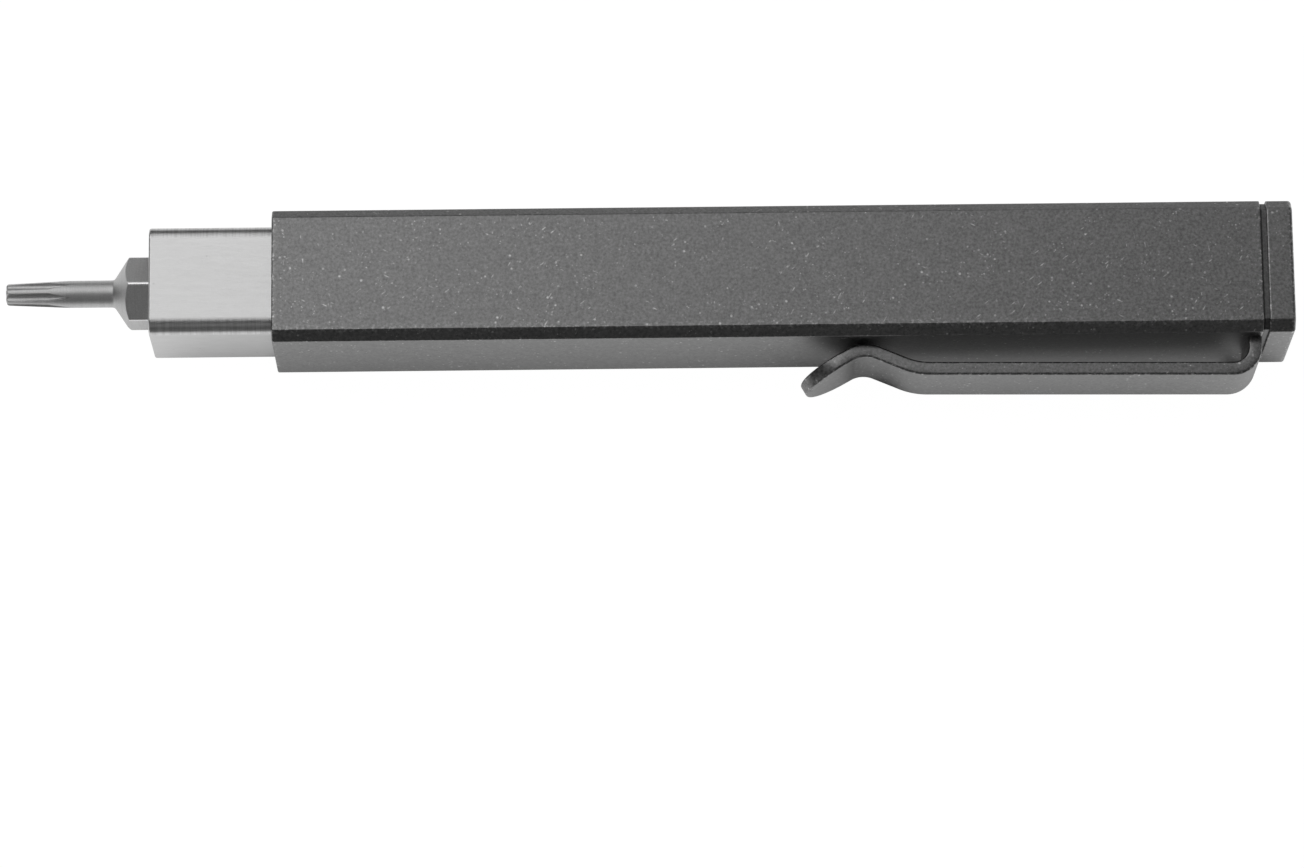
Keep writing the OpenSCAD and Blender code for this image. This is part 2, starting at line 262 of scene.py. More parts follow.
def spread(outlines: tuple[Outline, ...], steps: int = 4, apron: float = 0.0) -> Array:
    """Gathers the directions that some outlines need, in order and without repeats.

    Args:
        outlines: The outlines.
        steps: Number of parts of each corner's arc.
        apron: Distance on each side of a corner at which its flats get a further point.

    Returns:
        Angles from 0 to a whole turn.
    """
    angles = np.sort(np.concatenate([o.directions(steps, apron) for o in outlines]) % math.tau)
    return angles[np.diff(angles, append=angles[0] + math.tau) > LEAST_TURN]


def wear_along(stations: list[Station]) -> Array:
    """Gives the stations' wear, with painted shade as values below 0, as a column."""
    return np.array([s.wear for s in stations])[:, None]


def carried(stations: list[Station], theta: Array, axis_z: float) -> Array:
    """Carries outlines along the axis: a point is (x, r cos t, axis + r sin t) with r by outline.

    Args:
        stations: Outlines along the tool.
        theta: Directions round the axis.
        axis_z: Height of the axis.

    Returns:
        Points, as stations by directions by three.
    """
    r = np.stack([s.outline.radius(theta) for s in stations])
    x = np.array([s.x for s in stations])[:, None] + 0 * r
    return np.stack([x, r * np.cos(theta), axis_z + r * np.sin(theta)], -1)


class Ends(Enum):
    """How a grid of points closes at its first and last row."""

    JOINED = "last row meets the first"
    CAPPED = "each end row is closed to its middle"


def skin(name: str, grid: Array, ends: Ends, wear: Array | None = None) -> Piece:
    """Makes a closed mesh from a grid whose rows are rings.

    Neighbouring rows and columns span four-sided faces, and each row meets itself. A capped end
    has one more point in the middle of its row and a fan of triangles round it.

    Args:
        name: Name of the piece.
        grid: Points in millimetres, as rows by columns by three.
        ends: How the first and the last row close.
        wear: Wear of each point from 0 to 1, as rows by columns; values below 0 are painted shade.

    Returns:
        The new object, in metres and at the origin.
    """
    rows, columns = grid.shape[:2]
    index = np.arange(rows * columns).reshape(rows, columns)
    near = index if ends is Ends.JOINED else index[:-1]
    far = np.roll(index, -1, 0) if ends is Ends.JOINED else index[1:]
    quads = np.stack([near, np.roll(near, -1, 1), np.roll(far, -1, 1), far], -1).reshape(-1, 4)
    points, faces = grid.reshape(-1, 3), quads.tolist()
    if ends is Ends.CAPPED:
        first, last = np.full(columns, rows * columns), np.full(columns, rows * columns + 1)
        points = np.concatenate([points, grid[:1].mean(1), grid[-1:].mean(1)])
        faces += np.stack([first, np.roll(index[0], -1), index[0]], -1).tolist()
        faces += np.stack([last, index[-1], np.roll(index[-1], -1)], -1).tolist()
    mesh = bpy.data.meshes.new(name)
    mesh.from_pydata((points * MM).tolist(), [], faces)
    if wear is not None:
        values = np.zeros(len(points), np.float32)
        values[: wear.size] = wear.ravel()
        mesh.attributes.new("wear", "FLOAT", "POINT").data.foreach_set("value", values)
    mesh.validate()
    piece = bpy.data.objects.new(name, mesh)
    bpy.context.scene.collection.objects.link(piece)
    return piece


def prism(name: str, outline: Array, low: float, high: float, axis: int) -> Piece:
    """Makes a straight solid from an outline in the two other axes, for a cut.

    Args:
        name: Name of the solid.
        outline: Points of the outline, as count by two, in the order of the two axes left over.
        low: Where the solid starts along the axis.
        high: Where it ends.
        axis: Number of the axis that it runs along.

    Returns:
        The new object.
    """
    grid = np.stack([np.insert(outline, axis, level, 1) for level in (low, high)])
    turn = outline - outline.mean(0)
    area = (turn[:, 0] * np.roll(turn[:, 1], -1) - turn[:, 1] * np.roll(turn[:, 0], -1)).sum()
    if (area > 0) == (axis == 1):
        grid = grid[:, ::-1]
    return skin(name, grid, Ends.CAPPED)


def rounded_box(width: float, height: float, radius: float, steps: int = 8) -> Array:
    """Gives the outline of a rectangle round the origin, with an arc at each corner.

    Args:
        width: Its size along the first axis.
        height: Its size along the second.
        radius: Radius of its corners.
        steps: Number of parts of each arc.

    Returns:
        Points, as count by two.
    """
    turns = np.linspace(0, math.pi / 2, steps + 1)
    quarter = radius * np.stack([np.cos(turns), np.sin(turns)], -1)
    corners = []
    for k, (sx, sy) in enumerate(((1, 1), (-1, 1), (-1, -1), (1, -1))):
        spun = np.exp(1j * math.pi / 2 * k) * (quarter[:, 0] + 1j * quarter[:, 1])
        middle = np.array([sx * (width / 2 - radius), sy * (height / 2 - radius)])
        corners.append(middle + np.stack([spun.real, spun.imag], -1))
    return np.concatenate(corners)


def disc(diameter: float, steps: int = 64) -> Array:
    """Gives the outline of a circle round the origin."""
    turns = math.tau * np.arange(steps) / steps
    return diameter / 2 * np.stack([np.cos(turns), np.sin(turns)], -1)


def cut(piece: Piece, cutters: list[Piece]) -> None:
    """Takes solids out of a piece and removes them.

    Args:
        piece: The piece that is cut.
        cutters: Closed solids, which go afterwards.
    """
    for cutter in cutters:
        modifier = piece.modifiers.new("cut", "BOOLEAN")
        modifier.operation = "DIFFERENCE"
        modifier.solver = "EXACT"
        modifier.object = cutter
        settle(piece)
        mesh = cutter.data
        bpy.data.objects.remove(cutter)
        bpy.data.meshes.remove(mesh)


def settle(piece: Piece) -> None:
    """Applies a piece's modifiers, so that its mesh is final.

    Args:
        piece: The piece.
    """
    graph = bpy.context.evaluated_depsgraph_get()
    made = bpy.data.meshes.new_from_object(piece.evaluated_get(graph))
    old = piece.data
    piece.modifiers.clear()
    piece.data = made
    bpy.data.meshes.remove(old)


def polish(piece: Piece, sharp_deg: float = 40.0) -> None:
    """Shades a piece smooth, with flats that stay flat and edges that stay sharp.

    Args:
        piece: The piece.
        sharp_deg: Turn between two faces above which their edge is sharp.
    """
    piece.data.shade_smooth()
    piece.data.set_sharp_from_angle(angle=math.radians(sharp_deg))
    weighted = piece.modifiers.new("flat_faces", "WEIGHTED_NORMAL")
    weighted.keep_sharp = True
    weighted.mode = "FACE_AREA"


class Nodes:
    """Node tree of one material, with its shader and a place in millimetres."""

    def __init__(self, name: str) -> None:
        """Makes the material with a Principled shader.

        Args:
            name: Name of the material.
        """
        self.material = bpy.data.materials.new(name)
        self.material.use_nodes = True
        self.tree = self.material.node_tree
        self.tree.nodes.clear()
        self.shader = self.tree.nodes.new("ShaderNodeBsdfPrincipled")
        self.output = self.tree.nodes.new("ShaderNodeOutputMaterial")
        self.plug(self.output.inputs["Surface"], self.shader.outputs["BSDF"])
        self.object_space = self.tree.nodes.new("ShaderNodeTexCoord").outputs["Object"]
        self.place = self.mapped()

    def plug(self, socket: Socket, value: object) -> None:
        """Sets a socket to a constant, or links another socket to it.

        Args:
            socket: The socket that takes the value.
            value: A constant or another socket.
        """
        if isinstance(value, Socket):
            self.tree.links.new(value, socket)
        else:
            socket.default_value = value

    def mapped(self, scale: Triple = (1.0, 1.0, 1.0), turn_deg: float = 0.0, shift: float = 0.0) -> Socket:
        """Gives the place on the piece in millimetres, turned about Z and then scaled.

        Args:
            scale: Factor along each axis.
            turn_deg: Turn about the Z axis.
            shift: Shift along X and Y, so that two patterns differ.

        Returns:
            The vector socket.
        """
        turned = self.tree.nodes.new("ShaderNodeMapping")
        turned.inputs["Scale"].default_value = (1 / MM,) * 3
        turned.inputs["Rotation"].default_value = (0, 0, math.radians(turn_deg))
        turned.inputs["Location"].default_value = (shift, shift, 0)
        self.plug(turned.inputs["Vector"], self.object_space)
        scaled = self.tree.nodes.new("ShaderNodeMapping")
        scaled.inputs["Scale"].default_value = scale
        self.plug(scaled.inputs["Vector"], turned.outputs["Vector"])
        return scaled.outputs["Vector"]

    def noise(self, scale: float, detail: float = 2.0, place: Socket | None = None,
              roughness: float = 0.5) -> Socket:
        """Adds a noise texture.

        Args:
            scale: Waves for each millimetre.
            detail: Number of finer octaves.
            place: Vector socket to read, or the piece's own place.
            roughness: Share of the finer octaves.

        Returns:
            The noise, about 0.5 on average.
        """
        node = self.tree.nodes.new("ShaderNodeTexNoise")
        node.inputs["Scale"].default_value = scale
        node.inputs["Detail"].default_value = detail
        node.inputs["Roughness"].default_value = roughness
        self.plug(node.inputs["Vector"], place or self.place)
        return node.outputs["Fac"]

    def spots(self, scale: float, place: Socket | None = None) -> Socket:
        """Adds scattered points.

        Args:
            scale: Points for each millimetre.
            place: Vector socket to read, or the piece's own place.

        Returns:
            The distance to the nearest point, in their own spacing.
        """
        node = self.tree.nodes.new("ShaderNodeTexVoronoi")
        node.inputs["Scale"].default_value = scale
        self.plug(node.inputs["Vector"], place or self.place)
        return node.outputs["Distance"]

    def ramp(self, value: Socket, low: float, high: float,
             to_low: float = 0.0, to_high: float = 1.0) -> Socket:
        """Maps a range of a value smoothly onto another range, and holds it there.

        Args:
            value: The socket to map.
            low: Value that gives to_low.
            high: Value that gives to_high.
            to_low: Result at the low end.
            to_high: Result at the high end.

        Returns:
            The mapped value.
        """
        node = self.tree.nodes.new("ShaderNodeMapRange")
        node.interpolation_type = "SMOOTHSTEP"
        for name, number in (("From Min", low), ("From Max", high), ("To Min", to_low), ("To Max", to_high)):
            node.inputs[name].default_value = number
        self.plug(node.inputs["Value"], value)
        return node.outputs["Result"]

    def math(self, operation: str, first: object, second: object) -> Socket:
        """Combines two values with one operation of the math node.

        Args:
            operation: Name of the operation.
            first: First value, a number or a socket.
            second: Second value.

        Returns:
            The result.
        """
        node = self.tree.nodes.new("ShaderNodeMath")
        node.operation = operation
        self.plug(node.inputs[0], first)
        self.plug(node.inputs[1], second)
        return node.outputs["Value"]

    def times(self, first: object, *others: object) -> object:
        """Multiplies values, one after the other."""
        return reduce(lambda product, other: self.math("MULTIPLY", product, other), others, first)

    def greatest(self, first: object, *others: object) -> object:
        """Gives the greatest of some values."""
        return reduce(lambda most, other: self.math("MAXIMUM", most, other), others, first)

    def vary(self, noise: Socket, low: float, high: float) -> Socket:
        """Maps the middle of a noise onto a range."""
        return self.ramp(noise, *NOISE_MIDDLE, low, high)

    def around(self, noise: Socket, swing: float) -> Socket:
        """Lets a factor swing round 1 with a noise."""
        return self.vary(noise, 1 - swing, 1 + swing)

    def attribute(self, name: str) -> Socket:
        """Reads a value that the mesh carries at its points.

        Args:
            name: Name of the attribute.

        Returns:
            The value, or 0 where the mesh has no such attribute.
        """
        node = self.tree.nodes.new("ShaderNodeAttribute")
        node.attribute_name = name
        return node.outputs["Fac"]

    def metal(self, colour: object, roughness: object, height: object, bump_mm: float) -> bpy.types.Material:
        """Finishes the shader as bare metal.

        Args:
            colour: Grey of the metal.
            roughness: Roughness of the surface.
            height: Relief from 0 to 1.
            bump_mm: Height of the relief.

        Returns:
            The material.
        """
        self.shader.inputs["Metallic"].default_value = 1.0
        self.plug(self.shader.inputs["Base Color"], colour)
        self.plug(self.shader.inputs["Roughness"], roughness)
        bump = self.tree.nodes.new("ShaderNodeBump")
        bump.inputs["Distance"].default_value = bump_mm * MM
        self.plug(bump.inputs["Height"], height)
        self.plug(self.shader.inputs["Normal"], bump.outputs["Normal"])
        return self.material


@dataclass(frozen=True)
class Marks:
    """One kind of pale marks: scattered spots, stretched into scratches or not, that keep to patches.

    Attributes:
        scale: Spots for each millimetre.
        outer: Distance from a spot's middle where it begins to show, in the spots' own spacing.
        inner: Distance where it shows in full.
        patch_scale: Waves of the patches for each millimetre.
        patch_low: Noise below which the ground is bare.
        patch_high: Noise above which it is fully marked.
        patch_detail: Finer octaves of the patches.
        strength: Strength of the spots.
        bare: Strength that is left on bare ground.
        stretch: Scale along each axis.
        turn_deg: Turn about Z.
        shift: Shift of the spots.
        patch_shift: Shift of the patches.
    """

    scale: float
    outer: float
    inner: float
    patch_scale: float
    patch_low: float
    patch_high: float
    patch_detail: float = 1.0
    strength: float = 1.0
    bare: float = 0.0
    stretch: Triple = (1.0, 1.0, 1.0)
    turn_deg: float = 0.0
    shift: float = 0.0
    patch_shift: float = 0.0

    def spots(self, n: Nodes) -> Socket:
        """Builds the marks as if they were everywhere."""
        place = n.mapped(self.stretch, self.turn_deg, self.shift)
        return n.ramp(n.spots(self.scale, place), self.outer, self.inner, 0.0, self.strength)

    def patches(self, n: Nodes) -> Socket:
        """Builds the patches that the marks keep to.

        Args:
            n: The material's nodes.

        Returns:
            Share of the marks that shows, from bare to 1.
        """
        place = n.mapped(turn_deg=self.turn_deg, shift=self.patch_shift)
        noise = n.noise(self.patch_scale, self.patch_detail, place)
        return n.ramp(noise, self.patch_low, self.patch_high, self.bare, 1.0)


@dataclass(frozen=True)
class StonewashedTitanium:
    """Dark tumbled titanium: fine mottle, pale specks in clusters and short scratches.

    Attributes:
        grey: Grey of the metal between the marks.
        pale: Grey of the specks and scratches.
        roughness: Least and most roughness.
        grain: Waves of the mottle for each millimetre.
        grain_span: Noise at which the mottle is darkest and palest.
        contrast: Swing of the mottle's grey.
        cloud: Waves of the soft clouds for each millimetre.
        specks: Round marks in clusters, and on worn edges everywhere.
        salt: Finer and fainter marks.
        scratch: Scratches; patch_shift is how far their patches are shifted from them.
        scratch_turns: Turn in degrees and shift of each set of scratches.
        fading: Waves of the clouds in which the marks fade, for each millimetre.
        fading_shift: Shift of those clouds.
        fading_span: Noise at which the marks are faintest and full.
        faintest: Strength of the marks where they are faintest.
        wear_scale: Waves of the worn edges' broken line for each millimetre.
        wear_span: Noise at which that line is faintest and full.
        wear_level: Its strength at these two.
        painted_shade_span: Wear values at which the painted shade is full and gone.
        painted_shade: Share of the grey that is left where the painted shade is full, a darkening that stands
            in for the shade in the end cap's neck.
        marks_depth: Depth of the marks, as a share of the mottle's height.
        relief_mm: Height of the mottle.
    """

    grey: float = 0.205
    pale: float = 0.54
    roughness: Pair = (0.31, 0.38)
    grain: float = 3.6
    grain_span: Pair = (0.15, 0.85)
    contrast: float = 0.45
    cloud: float = 1.1
    specks: Marks = Marks(1.4, 0.24, 0.1, 0.28, 0.44, 0.58, 2.0, patch_shift=31)
    salt: Marks = Marks(2.7, 0.28, 0.12, 0.4, 0.42, 0.6, strength=0.75, bare=0.12, shift=11, patch_shift=97)
    scratch: Marks = Marks(0.8, 0.2, 0.08, 0.21, 0.56, 0.66, stretch=(0.6, 3.2, 1.3), patch_shift=50)
    scratch_turns: tuple[Pair, ...] = ((25, 3), (-38, 17), (80, 29), (120, 41))
    fading: float = 1.7
    fading_shift: float = 71.0
    fading_span: Pair = (0.38, 0.66)
    faintest: float = 0.15
    wear_scale: float = 3.0
    wear_span: Pair = (0.48, 0.66)
    wear_level: Pair = (0.05, 0.7)
    painted_shade_span: Pair = (-1.0, -0.1)
    painted_shade: float = 0.2
    marks_depth: float = 0.5
    relief_mm: float = 0.0009

    def material(self) -> bpy.types.Material:
        """Builds the material: mottle, marks that fade in clouds, worn edges and painted shade in grooves.

        Returns:
            The material.
        """
        n = Nodes("stonewashed_titanium")
        grain = n.noise(self.grain, detail=4.0, roughness=0.7)
        mottle = n.ramp(grain, *self.grain_span, 1 - self.contrast, 1 + self.contrast)
        tone = n.times(mottle, n.around(n.noise(self.cloud, detail=3.0), swing=0.04))
        # The wear attribute carries real edge wear from 0 to 1 and painted shade below 0.
        wear_and_painted_light = n.attribute("wear")
        marks = n.greatest(
            n.times(self.specks.spots(n), n.greatest(self.specks.patches(n), wear_and_painted_light)),
            n.times(self.salt.spots(n), self.salt.patches(n)),
            *(n.times(s.spots(n), s.patches(n)) for s in self._scratches()),
        )
        clouds = n.noise(self.fading, detail=1.0, place=n.mapped(shift=self.fading_shift))
        fading = n.ramp(clouds, *self.fading_span, self.faintest, 1.0)
        broken = n.ramp(n.noise(self.wear_scale, detail=3.0), *self.wear_span, *self.wear_level)
        marks = n.greatest(n.times(marks, fading), n.times(wear_and_painted_light, broken))
        # Painted shade: where the wear value is below 0, as in the end cap's neck, the grey is darkened in
        # place of the groove's shade.
        tone = n.times(tone, n.ramp(wear_and_painted_light, *self.painted_shade_span, self.painted_shade, 1.0))
        colour = n.times(tone, n.ramp(marks, 0.0, 1.0, self.grey, self.pale))
        relief = n.math("SUBTRACT", grain, n.times(marks, self.marks_depth))
        return n.metal(colour, n.vary(grain, *self.roughness), relief, self.relief_mm)

    def _scratches(self) -> list[Marks]:
        """Gives the sets of scratches, each with its own turn and shift.

        Returns:
            The marks of each set.
        """
        base = self.scratch
        return [replace(base, turn_deg=turn, shift=shift, patch_shift=shift + base.patch_shift)
                for turn, shift in self.scratch_turns]


@dataclass(frozen=True)
class BrushedStainless:
    """Stainless bar brushed along its length.

    Attributes:
        grey: Grey of the metal.
        roughness: Least and most roughness.
        streaks: Waves of the fine streaks along each axis, for each millimetre.
        bands: The same for broad, faint bands.
        grinding: The same for the grinding lines across the rounded edges.
        grinding_swing: Swing of the grey with these lines.
        nicks: Small nicks for each millimetre.
        nick_span: Distance from a nick's middle where it begins to show, and where it is full.
        nick_grey: Share of the grey that is left in a nick.
        anisotropy: Stretch of the gloss across the streaks.
        relief_mm: Height of the streaks.
    """

    grey: float = 0.62
    roughness: Pair = (0.3, 0.37)
    streaks: Triple = (0.6, 7, 7)
    bands: Triple = (0.16, 3, 3)
    grinding: Triple = (6, 0.3, 0.3)
    grinding_swing: float = 0.1
    nicks: float = 0.6
    nick_span: Pair = (0.08, 0.04)
    nick_grey: float = 0.86
    anisotropy: float = 0.4
    relief_mm: float = 0.0007

    def material(self) -> bpy.types.Material:
        """Builds the material from streaks along X, and grinding lines across it on the rounded edges.

        Returns:
            The material.
        """
        n = Nodes("brushed_stainless")
        fine = n.noise(1.0, detail=3.0, place=n.mapped(self.streaks), roughness=0.7)
        coarse = n.noise(1.0, detail=2.0, place=n.mapped(self.bands))
        across = n.noise(1.0, detail=1.0, place=n.mapped(self.grinding))
        lines = n.vary(across, -self.grinding_swing, self.grinding_swing)
        ground = n.math("ADD", n.times(n.attribute("wear"), lines), 1.0)
        tone = n.times(n.around(fine, swing=0.06), n.around(coarse, swing=0.01), ground)
        nicks = n.ramp(n.spots(self.nicks), *self.nick_span, 1.0, self.nick_grey)
        n.shader.inputs["Anisotropic"].default_value = self.anisotropy
        colour = n.times(tone, nicks, self.grey)
        return n.metal(colour, n.vary(fine, *self.roughness), fine, self.relief_mm)


@dataclass(frozen=True)
class BitSteel:
    """Satin tool steel with a fine blasted grain, faint turning marks and corners polished by use, made paler
    there partly as a painted highlight.

    Attributes:
        grey: Grey of the metal.
        roughness: Least and most roughness.
        polished: Share of the roughness that is left at the corners.
        polish_and_highlight_gain: How much paler the corners are, partly real polish and partly a painted
            highlight of the rounded corner line.
        grain: Waves of the grain for each millimetre.
        turning: Waves of the turning marks along each axis, for each millimetre.
        turning_grey: Factors of the grey in them.
        relief_mm: Height of the grain.
    """

    grey: float = 0.63
    roughness: Pair = (0.45, 0.55)
    polished: float = 0.56
    polish_and_highlight_gain: float = 1.3
    grain: float = 9.0
    turning: Triple = (7, 0.4, 0.4)
    turning_grey: Pair = (0.97, 1.04)
    relief_mm: float = 0.0015

    def material(self) -> bpy.types.Material:
        """Builds the material from a fine grain, rings across X and the polish of worn corners, whose paler
        grey is partly a painted highlight.

        Returns:
            The material.
        """
        n = Nodes("bit_steel")
        grain = n.noise(self.grain, detail=3.0, roughness=0.7)
        rings = n.noise(1.0, detail=2.0, place=n.mapped(self.turning))
        wear_and_painted_light = n.attribute("wear")
        # Paler corners: partly real polish, partly a painted highlight along the rounded corner line.
        grey = n.ramp(wear_and_painted_light, 0.0, 1.0, self.grey, self.polish_and_highlight_gain * self.grey)
        colour = n.times(n.around(grain, swing=0.1), n.vary(rings, *self.turning_grey), grey)
        roughness = n.times(n.vary(grain, *self.roughness), n.ramp(wear_and_painted_light, 0.0, 1.0, 1.0, self.polished))
        return n.metal(colour, roughness, grain, self.relief_mm)


@dataclass(frozen=True)
class TurnedTitanium:
    """Machined titanium with rings round the tool's axis.

    Attributes:
        axis_z: Height of the axis that the rings run round.
        grey: Grey of the metal.
        roughness: Its roughness.
        rings: Phase that the rings gain over each millimetre, in radians.
        ring_grey: Factors of the grey between and on the rings.
        grain: Waves of the grain for each millimetre.
        relief_mm: Height of the rings.
    """

    axis_z: float
    grey: float = 0.3
    roughness: float = 0.34
    rings: float = 36.0
    ring_grey: Pair = (0.92, 1.08)
    grain: float = 3.0
    relief_mm: float = 0.004

    def material(self) -> bpy.types.Material:
        """Builds the material from rings by the distance to the axis, and a little noise.

        Returns:
            The material.
        """
        n = Nodes("turned_titanium")
        middle = n.tree.nodes.new("ShaderNodeMapping")
        middle.inputs["Location"].default_value = (0, 0, -self.axis_z)
        middle.inputs["Scale"].default_value = (0, 1, 1)
        n.plug(middle.inputs["Vector"], n.place)
        length = n.tree.nodes.new("ShaderNodeVectorMath")
        length.operation = "LENGTH"
        n.plug(length.inputs[0], middle.outputs["Vector"])
        rings = n.math("SINE", n.times(length.outputs["Value"], self.rings), 0.0)
        grain = n.around(n.noise(self.grain, detail=2.0), swing=0.06)
        tone = n.times(n.ramp(rings, -1, 1, *self.ring_grey), grain)
        return n.metal(n.times(tone, self.grey), self.roughness, rings, self.relief_mm)


@dataclass(frozen=True)
class NickelPlate:
    """Bright nickel on the magnets, slightly uneven.

    Attributes:
        grey: Darkest and palest grey of the metal.
        roughness: Least and most roughness.
        cloud: Waves of the clouds for each millimetre.
        relief_mm: Height of the clouds.
    """

    grey: Pair = (0.5704, 0.6572)
    roughness: Pair = (0.2, 0.3)
    cloud: float = 1.4
    relief_mm: float = 0.003

    def material(self) -> bpy.types.Material:
        """Builds the material from soft clouds in tone and roughness.

        Returns:
            The material.
        """
        n = Nodes("nickel_plate")
        cloud = n.noise(self.cloud, detail=3.0)
        return n.metal(n.vary(cloud, *self.grey), n.vary(cloud, *self.roughness), cloud, self.relief_mm)


@dataclass(frozen=True)
class BlackOxide:
    """Black oxidised screw steel, rubbed paler here and there.

    Attributes:
        grey: Darkest and palest grey of the metal.
        roughness: Least and most roughness.
        rubbed: Grey that rubbing adds.
        grain: Waves of the grain for each millimetre.
        patches: Waves of the rubbed patches for each millimetre.
        patch_span: Noise at which a patch begins, and at which it is full.
        relief_mm: Height of the grain.
    """

    grey: Pair = (0.04, 0.065)
    roughness: Pair = (0.35, 0.48)
    rubbed: float = 0.12
    grain: float = 6.0
    patches: float = 1.1
    patch_span: Pair = (0.5, 0.7)
    relief_mm: float = 0.004

    def material(self) -> bpy.types.Material:
        """Builds the material from a fine grain and rubbed patches.

        Returns:
            The material.
        """
        n = Nodes("black_oxide_steel")
        grain = n.noise(self.grain, detail=3.0)
        patches = n.ramp(n.noise(self.patches, detail=2.0), *self.patch_span)
        rubbed = n.times(patches, n.attribute("wear"), self.rubbed)
        colour = n.math("ADD", n.vary(grain, *self.grey), rubbed)
        return n.metal(colour, n.vary(grain, *self.roughness), grain, self.relief_mm)


class Finishes:
    """The object's materials by slot, and what puts them on pieces."""

    def __init__(self, axis_z: float) -> None:
        """Builds every finish once.

        Args:
            axis_z: Height of the tool's axis.
        """
        kinds = {
            Slot.STONEWASHED: StonewashedTitanium(),
            Slot.TURNED: TurnedTitanium(axis_z),
            Slot.BRUSHED: BrushedStainless(),
            Slot.BIT: BitSteel(),
            Slot.NICKEL: NickelPlate(),
            Slot.BLACK: BlackOxide(),
        }
        self.materials = {slot: kind.material() for slot, kind in kinds.items()}

    def put_on(self, piece: Piece, slot: Slot) -> None:
        """Gives a new piece its finish as its only material.

        Args:
            piece: The piece.
            slot: Its material slot.
        """
        piece.data.materials.clear()
        piece.data.materials.append(self.materials[slot])

    def dress_node(self, node: Piece, slot: Slot) -> None:
        """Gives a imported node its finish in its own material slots.

        Args:
            node: The node's object.
            slot: Its material slot.
        """
        if not node.material_slots:
            node.data.materials.append(self.materials[slot])
        for place in node.material_slots:
            place.material = self.materials[slot]


@dataclass
class Sleeve:
    """The chamfered square sleeve with its rounded bore and the notch for the clip.

    Attributes:
        wall: Thickness of the wall.
        chamfer: Chamfer along the long edges.
        edge_r: Rounding of the chamfers' edges.
        mouth_r: Rounding round the mouth.
        rear_r: Rounding round the rear end.
        bore_corner_r: Radius of the bore's corners.
        notch_room: Room on each side of the clip in its notch.
        notch_corner_r: Radius of the notch's corners.
        worn_l: Distance from each end over which the edge's wear fades out.
        worn_w: Width of the worn band along the front face's lower edge.
        worn_edges: Wear of the long edges on the clip's side.
        worn_band: Wear at the band's edge.
    """

    wall: float = 1.1
    chamfer: float = 0.92
    edge_r: float = 0.16
    mouth_r: float = 0.18
    rear_r: float = 0.12
    bore_corner_r: float = 1.45
    notch_room: float = 0.05
    notch_corner_r: float = 0.15
    worn_l: float = 0.5
    worn_w: float = 0.9
    worn_edges: float = 0.6
    worn_band: float = 0.8

    def build(self, finishes: Finishes) -> Piece:
        """Carries the wall's outlines round: bore edge, mouth, outside, rear end and bore again.

        Args:
            finishes: The object's finishes.

        Returns:
            The sleeve.
        """
        low, high = node_box("sleeve")
        width, axis_z = high[2] - low[2], (high[2] + low[2]) / 2
        outside = Outline.octagon(width, self.chamfer, self.edge_r)
        bore = Outline.square(width - 2 * self.wall, self.bore_corner_r)
        bore_r = -self.mouth_r / 2
        stations = [
            *edge_stations(low[0], bore, bore_r, 1)[::-1],
            *edge_stations(low[0], outside, self.mouth_r, 1),
            Station(low[0] + self.worn_l, outside),
            Station(high[0] - self.worn_l, outside),
            *edge_stations(high[0], outside, self.rear_r, -1)[::-1],
            *edge_stations(high[0], bore, bore_r, -1),
            Station(high[0] - self.worn_l, bore),
            Station(low[0] + self.worn_l, bore),
        ]
        theta = spread((outside, bore), apron=self.worn_w)
        wear = np.maximum(wear_along(stations), self._side_wear(outside, theta, width))
        piece = skin("sleeve_shell", carried(stations, theta, axis_z), Ends.JOINED, wear)
        cut(piece, [self._notch()])
        polish(piece)
        finishes.put_on(piece, Slot.STONEWASHED)
        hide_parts("sleeve")
        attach(piece, Body.SLEEVE.value)
        return piece

    def _side_wear(self, outside: Outline, theta: Array, width: float) -> Array:
        """Gives the wear of the long edges on the clip's side, widest on the front face.

        It is even on the corners' arcs, and fades with the distance from the front face's edge.

        Args:
            outside: The sleeve's outline.
            theta: Directions round the axis.
            width: Width of the sleeve.

        Returns:
            Wear, one value for each direction.
        """
        r = outside.radius(theta)
        across, up = r * np.cos(theta), r * np.sin(theta)
        away = np.hypot(across + width / 2 - self.chamfer, up - width / 2)
        on_edges = self.worn_edges * (outside.on_corner(theta) & (across < 0))
        return np.maximum(on_edges, np.clip(self.worn_band - away / self.worn_w, 0, 1))

    def _notch(self) -> Piece:
        """Makes the solid that the clip's notch is cut with.

        Returns:
            The solid.
        """
        low = node_box("clip_root")[0]
        arm_low, arm_high = node_box("clip_arm")
        x_tab = node_box("tail_plug")[1][0]
        rear = node_box("sleeve")[1][0]
        width = arm_high[2] - arm_low[2] + 2 * self.notch_room
        middle = np.array([(x_tab + rear + OVERCUT) / 2, (arm_high[2] + arm_low[2]) / 2])
        outline = middle + rounded_box(rear + OVERCUT - x_tab, width, self.notch_corner_r)
        return prism("notch", outline, low[1] - OVERCUT, -self.notch_room, 1)


